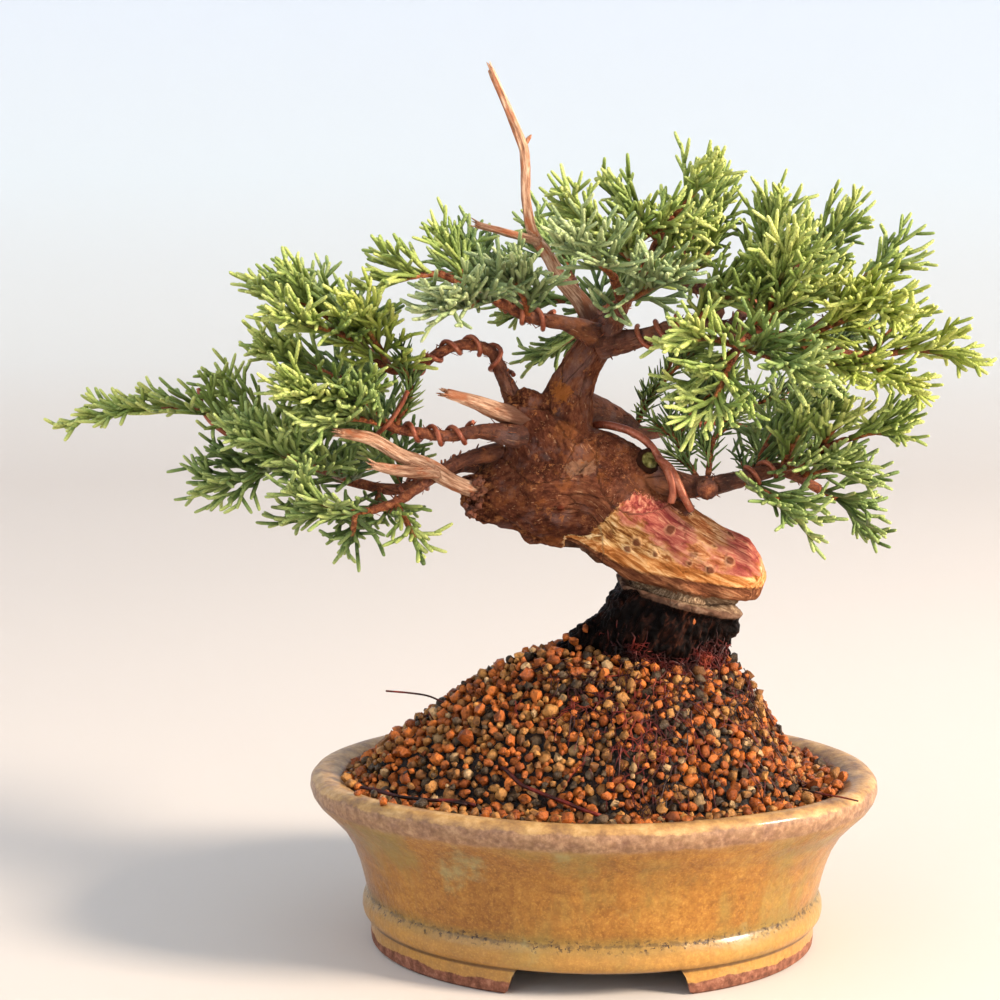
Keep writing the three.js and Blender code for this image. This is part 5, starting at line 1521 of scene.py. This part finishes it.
def leafy_shoot(rng, path, reach):
    """A stem with sprays all along it: the lower ones spread, the ones near the tip point forward."""
    cords = []
    line = stem_line(path, step=3.3, least=6)
    count = len(line) - 1
    stem_cords(cords, line, radius=1.0, tip_radius=0.72, brown_until=0.55)
    hand = 1
    for k in range(1, count + 1):
        share = k / count
        forward = (line[k] - line[k - 1]).normalized()
        across = forward.cross(UP).normalized()
        for _ in range(2 if k < count else 1):
            hand = -hand
            rise = rng.uniform(-0.5, 1.2)
            out = across * hand * math.cos(rise) + UP * math.sin(rise)
            spread = rng.uniform(0.5, 0.95) * (1 - 0.45 * share)
            way = (forward + out * spread).normalized()
            lean = UP + across * rng.gauss(0, 0.9)
            fan = (lean - way * lean.dot(way)).normalized()
            fullness = 0.6 + 0.4 * math.sin(math.pi * min(1, 0.25 + share * 0.85))
            size = reach * fullness * rng.uniform(0.95, 1.65) * (1 - 0.3 * share) * (1 if k < count else 0.6)
            at = line[k - 1].lerp(line[k], rng.random())
            branchlet(cords, rng, at, way, fan, size, 1, 0.55 + 0.45 * share)
    return cords


def needled_shoot(rng, path, reach):
    """A young stem and a few side stems, with pointed needle leaves in threes."""
    cords = []
    line = stem_line(path, step=2, least=8)
    count = len(line) - 1
    stem_cords(cords, line, radius=0.95, tip_radius=0.6, brown_until=0.8)
    twigs = [line]
    for k in range(2, count, 2):
        forward = (line[k] - line[k - 1]).normalized()
        across = forward.cross(UP).normalized() * rng.choice((-1, 1))
        way = (forward + across * rng.uniform(0.5, 0.9) + UP * rng.uniform(-0.2, 0.7)).normalized()
        size = reach * rng.uniform(0.7, 1.1)
        twig = [line[k] + way * size * i / 6 + UP * 0.02 * size * i * i / 6 for i in range(7)]
        stem_cords(cords, twig, radius=0.6, tip_radius=0.45, brown_until=0.6)
        twigs.append(twig)
    for twig in twigs:
        turn = rng.uniform(0, 6.28)
        for a, b in zip(twig, twig[1:]):
            forward = (b - a).normalized()
            normal = forward.orthogonal().normalized()
            side = forward.cross(normal)
            turn += WHORL_TWIST
            for third in range(3):
                angle = turn + third * THIRD_TURN + rng.uniform(-0.25, 0.25)
                out = normal * math.cos(angle) + side * math.sin(angle)
                way = (forward * rng.uniform(0.9, 1.7) + out).normalized()
                size = rng.uniform(4.0, 7.0)
                at = a.lerp(b, rng.random())
                cords.append((at, way, forward * 0.5, size, 0.5, 0.6, 0.8, rng.uniform(0.3, 0.8), 0.0))
    return cords


def scale_leaves():
    """A group for the overlapping scale leaves round a cord: their relief, and the lines between them that
    are painted darker as shade.
    """
    group = bpy.data.node_groups.new("scale_leaves", "ShaderNodeTree")
    group.interface.new_socket("Height", in_out="OUTPUT", socket_type="NodeSocketFloat")
    group.interface.new_socket("Seam", in_out="OUTPUT", socket_type="NodeSocketFloat")
    made = group.nodes.new("NodeGroupOutput")
    uv = put(group, "ShaderNodeUVMap", uv_map="leaves").outputs[0]
    parts = parts_of(group, uv)
    rows = times(group, parts["X"], 4.0)
    offset = times(group, calc(group, "MODULO", calc(group, "FLOOR", rows), 2.0), 0.5)
    aside = gap_to(group, calc(group, "FRACT", rows), 0.5)
    run = plus(group, calc(group, "DIVIDE", parts["Y"], LEAF_LENGTH), offset)
    leaf = calc(group, "FRACT", plus(group, run, times(group, aside, 0.7)))
    edge = minus(group, 1.0, between(group, leaf, 0.0, 0.22))
    group.links.new(minus(group, minus(group, leaf, aside), edge), made.inputs["Height"])
    group.links.new(edge, made.inputs["Seam"])
    return group


scales_look = scale_leaves()
# The green of shaded inner cords, of most cords, and of fresh tips.
# The shaded and sunlit rows are the middle row painted darker and lighter, as shade and light.
GREENS = {
    "foliage_deep": ("#344A24", "#7A9350", "#BDCA7B"),
    "foliage_mid": ("#405423", "#90A653", "#D4DA80"),
    "foliage_light": ("#546724", "#A7B753", "#E3E584"),
    "foliage_grey": ("#425633", "#899E69", "#C3CE94"),
}


def leaf_finish(slot):
    """The green of one kind of foliage, from the shaded inner cords to the fresh tips."""
    deep, middle, tip = GREENS[slot]
    name = slot.replace("foliage", "leaves")
    finish, tree, shader = new_finish(name, Roughness=0.52, Specular_IOR_Level=0.35)
    parts = put(tree, "ShaderNodeSeparateColor", {"Color": stored(tree, "tint", "Color")}).outputs
    where = surface_place(tree)
    leaf = put(tree, "ShaderNodeGroup", node_tree=scales_look)
    tone = plus(tree, parts["Red"], swing(tree, mottle(tree, where, 60, 3), 0.9))
    tone = plus(tree, tone, swing(tree, parts["Green"], 0.35))
    green = colours(tree, tone, (0.05, deep), (0.5, middle), (1.0, tip))
    # Painted shade: the seams between the scale leaves are darkened towards the shaded green.
    green = wash(tree, green, deep, leaf.outputs["Seam"], 0.3)
    browns = [(0.35, "#5A2A16"), (0.5, "#93502C"), (0.66, "#BE7C48")]
    stem = colours(tree, mottle(tree, where, 700, 4, 0.7), *browns)
    tree.links.new(blend(tree, parts["Blue"], green, stem), shader.inputs["Base Color"])
    tree.links.new(relief(tree, leaf.outputs["Height"], 0.22 * MM), shader.inputs["Normal"])
    return finish


leaf_finishes = {slot: leaf_finish(slot) for slot in TONES}
for number, (name, (path, reach, tone)) in enumerate(SHOOTS.items()):
    rng = random.Random(500 + number)
    grow = needled_shoot if name in YOUNG_SHOOTS else leafy_shoot
    cords = grow(rng, path, reach)
    for fork in FORKS.get(name, ()):
        cords += leafy_shoot(rng, fork, reach * FORK_REACH)
    for fork in NEEDLED_FORKS.get(name, ()):
        cords += needled_shoot(rng, fork, NEEDLED_REACH)
    shoot = cord_mesh(f"leaves_{name}", cords)
    shoot.data.materials.append(leaf_finishes[TONES[tone]])
    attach(shoot, "root")
    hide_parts(f"foliage_{name}")

# ---------- fine roots, flakes and splinters ----------
# Red-brown feeder roots mat the foot of the stump and trail over the soil, where repotting left them.
# Dry bark lifts in scales from the branches and crumbles at the foot of the left dead one. The tips of the
# dead ones are splintered.
ROOT_TRAILS = [
    [
        (-66, -24, 50.6), (-60.6, -27, 50.4), (-54.5, -34, 50.6), (-46.1, -38, 50.8), (-39.3, -38, 50.6),
        (-33.7, -40, 50),
    ],
    [(-64, -27, 51), (-57, -33.5, 51), (-49, -38, 51.2), (-41, -40, 51), (-36, -41, 50.4)],
    [
        (-27, -33, 58.6), (-25.8, -35.4, 59), (-23.6, -38, 57.6), (-21.2, -40, 55.8), (-17.3, -42, 54.6),
        (-13.6, -44, 53.6), (-9.2, -45.6, 52.4), (-5.2, -47, 51), (0, -48.6, 49.6),
    ],
    [(-40, -5, 69), (-44.4, -5, 71.2), (-47.9, -4, 72.4), (-53.1, -3, 73), (-60, -4, 73.8)],
    [(-42, -5, 66.5), (-46, -5.4, 67.4), (-49.5, -4.6, 66.4)],
    [(-42, -6, 65.5), (-46, -7, 66), (-47.6, -7.6, 68.6)],
    [(-43, -4, 64), (-47, -4, 64.6), (-50.4, -3, 63.4)],
    [(57, -30, 52), (62, -34, 51.8), (67, -36, 51.4), (71.5, -37, 50.6)],
]
TRAIL_RADII = (0.5, 0.4, 0.62, 0.28, 0.2, 0.18, 0.2, 0.24)
HAIRS_ON_STUMP = 800
HAIRS_ON_SOIL = 420
# Where the hairs on the soil lie thickest, x and y, and the middle of the stump that the others hug.
HAIR_MATS = [(22, -26), (0, -24), (44, -18), (14, -38)]
HUG_X, HUG_Y = 20, 3


def hugged(place, reach):
    """The nearest place at a distance from the middle of the stump."""
    away = math.hypot(place.x - HUG_X, place.y - HUG_Y)
    return HUG_X + (place.x - HUG_X) * reach / away, HUG_Y + (place.y - HUG_Y) * reach / away


def straggle(rng, start, way, length, radius, lift):
    """A fine root's path: it strays at every step, and lies on the soil by a lift, or else hugs the stump."""
    path = [(*start, radius)]
    place = Vector(start)
    for k in range(4):
        way = (way + Vector([rng.gauss(0, 0.45) for _ in range(3)])).normalized()
        place = place + way * length / 4
        if lift is not None:
            place.z = mound(place.x, place.y) + lift + rng.uniform(-0.3, 0.5)
        else:
            reach = math.hypot(start[0] - HUG_X, start[1] - HUG_Y) + rng.uniform(-0.6, 0.8)
            place.x, place.y = hugged(place, reach)
        path.append((*place, radius * (1 - 0.15 * k)))
    return path


rng = random.Random(71)
paths = [[(*p, radius) for p in trail] for trail, radius in zip(ROOT_TRAILS, TRAIL_RADII)]
threads = [skin(path, sides=6, steps=4) for path in paths]
for _ in range(HAIRS_ON_STUMP):
    angle = rng.uniform(-2.8, -0.3)
    reach = rng.uniform(17.5, 20.5)
    height = rng.uniform(80.5, 91) - 0.5 * (reach - 16)
    start = (HUG_X + reach * math.cos(angle), HUG_Y + reach * math.sin(angle), height)
    way_x = -math.sin(angle) * rng.uniform(-1, 1)
    way_y = math.cos(angle) * rng.uniform(-1, 1) - 0.3
    way = Vector((way_x, way_y, rng.uniform(-0.7, 0.4))).normalized()
    hair = straggle(rng, start, way, rng.uniform(4, 11), rng.uniform(0.12, 0.26), None)
    threads.append(skin(hair, sides=4, steps=1))
for _ in range(HAIRS_ON_SOIL):
    mat_x, mat_y = rng.choice(HAIR_MATS)
    x, y = rng.gauss(mat_x, 8), rng.gauss(mat_y, 7)
    if math.hypot(x / 72, y / 60) < 0.95 and math.hypot(x - 19, y - 4) > 19:
        way = Vector((rng.gauss(0, 1), rng.gauss(0, 1), 0)).normalized()
        start = (x, y, mound(x, y) + 1.2)
        hair = straggle(rng, start, way, rng.uniform(4, 10), rng.uniform(0.1, 0.22), 0.9)
        threads.append(skin(hair, sides=4, steps=1))
points, faces = joined(threads)
fine_roots = piece_of("fine_roots", [spot(*p) for p in points], faces)
finish_mesh(fine_roots, degrees=80)
root_finish, tree, shader = new_finish("wet_root", Roughness=0.55, Specular_IOR_Level=0.25)
where = surface_place(tree)
redness = mottle(tree, where, 130, 4, 0.65)
root_tone = colours(tree, redness, (0.36, "#120504"), (0.5, "#380E0A"), (0.6, "#651C14"), (0.74, "#8A3E24"))
tree.links.new(root_tone, shader.inputs["Base Color"])
tree.links.new(relief(tree, mottle(tree, where, 1800, 3), 0.1 * MM), shader.inputs["Normal"])
fine_roots.data.materials.append(root_finish)

flakes = []
for path in LIMBS.values():
    for place, along, normal, side, radius, t in stations(path, 9)[2:]:
        for _ in range(rng.choice((0, 1, 2))):
            angle = rng.uniform(0, 2 * math.pi)
            out = normal * math.cos(angle) + side * math.sin(angle)
            way = (along * rng.choice((-0.9, 0.9)) + out * rng.uniform(0.15, 0.9)).normalized()
            size = rng.uniform(0.9, 2.4)
            start = place + out * radius * 0.9
            flakes.append((start, way, out * 0.3, size, rng.uniform(0.25, 0.5), 0.35, 0.6, 0, 1))
bark_flakes = cord_mesh("bark_flakes", flakes)
store(bark_flakes, "grain", places_of(bark_flakes.data) * MM)
store(bark_flakes, "age", np.full(len(bark_flakes.data.vertices), 0.25))
bark_flakes.data.materials.append(branch_finish)

SPLINTER_COUNTS = {"left_jin": 9, "left_jin_fork": 6, "short_jin": 10, "top_jin": 6, "top_jin_fork": 5}
splinters = []
for name, count in SPLINTER_COUNTS.items():
    end, along, normal, side, radius, _ = stations(DEAD[name], 4)[-1]
    for _ in range(count):
        angle = rng.uniform(0, 2 * math.pi)
        out = normal * math.cos(angle) + side * math.sin(angle)
        way = (along + out * rng.uniform(-0.1, 0.25)).normalized()
        start = end - along * 1.5 + out * radius * 0.6
        splinters.append((start, way, out * 0.2, rng.uniform(2.4, 4.4), 0.5 * radius, 0.6, 1.0, 0, 0))
thorn_at, thorn_way = Vector((-20.6, 1, 229.6)), Vector((0.5, -0.1, 0.85)).normalized()
splinters.append((thorn_at, thorn_way, Vector((0.4, 0, 0.2)), 3.4, 0.8, 1, 1, 0, 0))
jin_splinters = cord_mesh("jin_splinters", splinters)
store(jin_splinters, "grain", places_of(jin_splinters.data) * MM)
jin_splinters.data.materials.append(dead_finish)

CRUMB_COUNT = 120
CRUMBS_AT = (-34.5, -6, 130.5)
crumbs = []
for _ in range(CRUMB_COUNT):
    angle, reach = rng.uniform(0, 2 * math.pi), rng.uniform(2.5, 6.5)
    along = rng.uniform(-3, 3)
    x = CRUMBS_AT[0] + along * 0.8
    y = CRUMBS_AT[1] + reach * math.cos(angle)
    place = (x, y, CRUMBS_AT[2] + 0.9 * reach * math.sin(angle) + along * 0.4)
    crumbs.append((rng.randrange(len(lumps)), place, rng.uniform(0.4, 1.1), turned(rng), (0, 0, 0)))
bark_crumbs = copies("bark_crumbs", lumps, crumbs)
store(bark_crumbs, "grain", places_of(bark_crumbs.data) * MM)
store(bark_crumbs, "age", np.full(len(bark_crumbs.data.vertices), 0.8))
bark_crumbs.data.materials.append(branch_finish)
for piece in (fine_roots, bark_flakes, jin_splinters, bark_crumbs):
    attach(piece, "root")
    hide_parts("trunk")

# ---------- floor and light ----------
# A pale floor curves up into a pale wall on every side.
# A warm soft light stands at the right, and a pale fill at the left.
WALL_LINE = [
    (0, 0), (0.7, 0), (1.2, 0.0), (1.5, 0.04), (1.75, 0.16), (1.9, 0.36), (1.98, 0.7), (2.0, 1.2), (2.0, 2.2),
]
AIM = (0, 0, 120)
wall_points = [spot(r * 1000, 0, z * 1000) for r, z in WALL_LINE]
backdrop = piece_of("backdrop", wall_points, [], [(i, i + 1) for i in range(len(WALL_LINE) - 1)])
alone(backdrop)
bpy.ops.object.mode_set(mode="EDIT")
bpy.ops.mesh.select_all(action="SELECT")
bpy.ops.mesh.spin(steps=96, angle=2 * math.pi, center=spot(0, 0, 0), axis=(0, 0, 1))
bpy.ops.mesh.select_all(action="SELECT")
bpy.ops.mesh.remove_doubles(threshold=0.0001)
bpy.ops.mesh.normals_make_consistent(inside=True)
bpy.ops.object.mode_set(mode="OBJECT")
bpy.ops.object.shade_smooth()
paper, tree, shader = new_finish("pale_paper", Roughness=0.9, Specular_IOR_Level=0.1)
height = times(tree, parts_of(tree, surface_place(tree))["Z"], 1.3)
sky = colours(tree, height, (0.0, "#CDC6BE"), (0.1, "#CCCECC"), (0.35, "#C8D2D8"), (0.9, "#C2CEE0"))
tree.links.new(sky, shader.inputs["Base Color"])
backdrop.data.materials.append(paper)
backdrop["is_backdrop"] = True


def soft_light(name, place, size, power, colour):
    """A square soft light that faces the tree."""
    lamp = bpy.data.lights.new(name, "AREA")
    lamp.size = size
    lamp.energy = power
    lamp.color = colour
    light = bpy.data.objects.new(name, lamp)
    light.location = spot(*place)
    light.rotation_euler = (spot(*AIM) - light.location).to_track_quat("-Z", "Y").to_euler()
    bpy.context.collection.objects.link(light)


soft_light("warm_sun", (1740, -700, 985), size=0.5, power=100, colour=(1.0, 0.84, 0.68))
soft_light("pale_fill", (-900, -700, 700), size=1.2, power=5.5, colour=(0.98, 0.96, 0.94))
world = bpy.data.worlds.new("pale_air")
world.use_nodes = True
world.node_tree.nodes["Background"].inputs["Color"].default_value = (0.86, 0.91, 1.0, 1)
world.node_tree.nodes["Background"].inputs["Strength"].default_value = 0.85
bpy.context.scene.world = world
bpy.context.scene.view_settings.view_transform = "Standard"

# ---------- size ----------
# The box round every shown piece of this model, without the backdrop.
low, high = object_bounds()
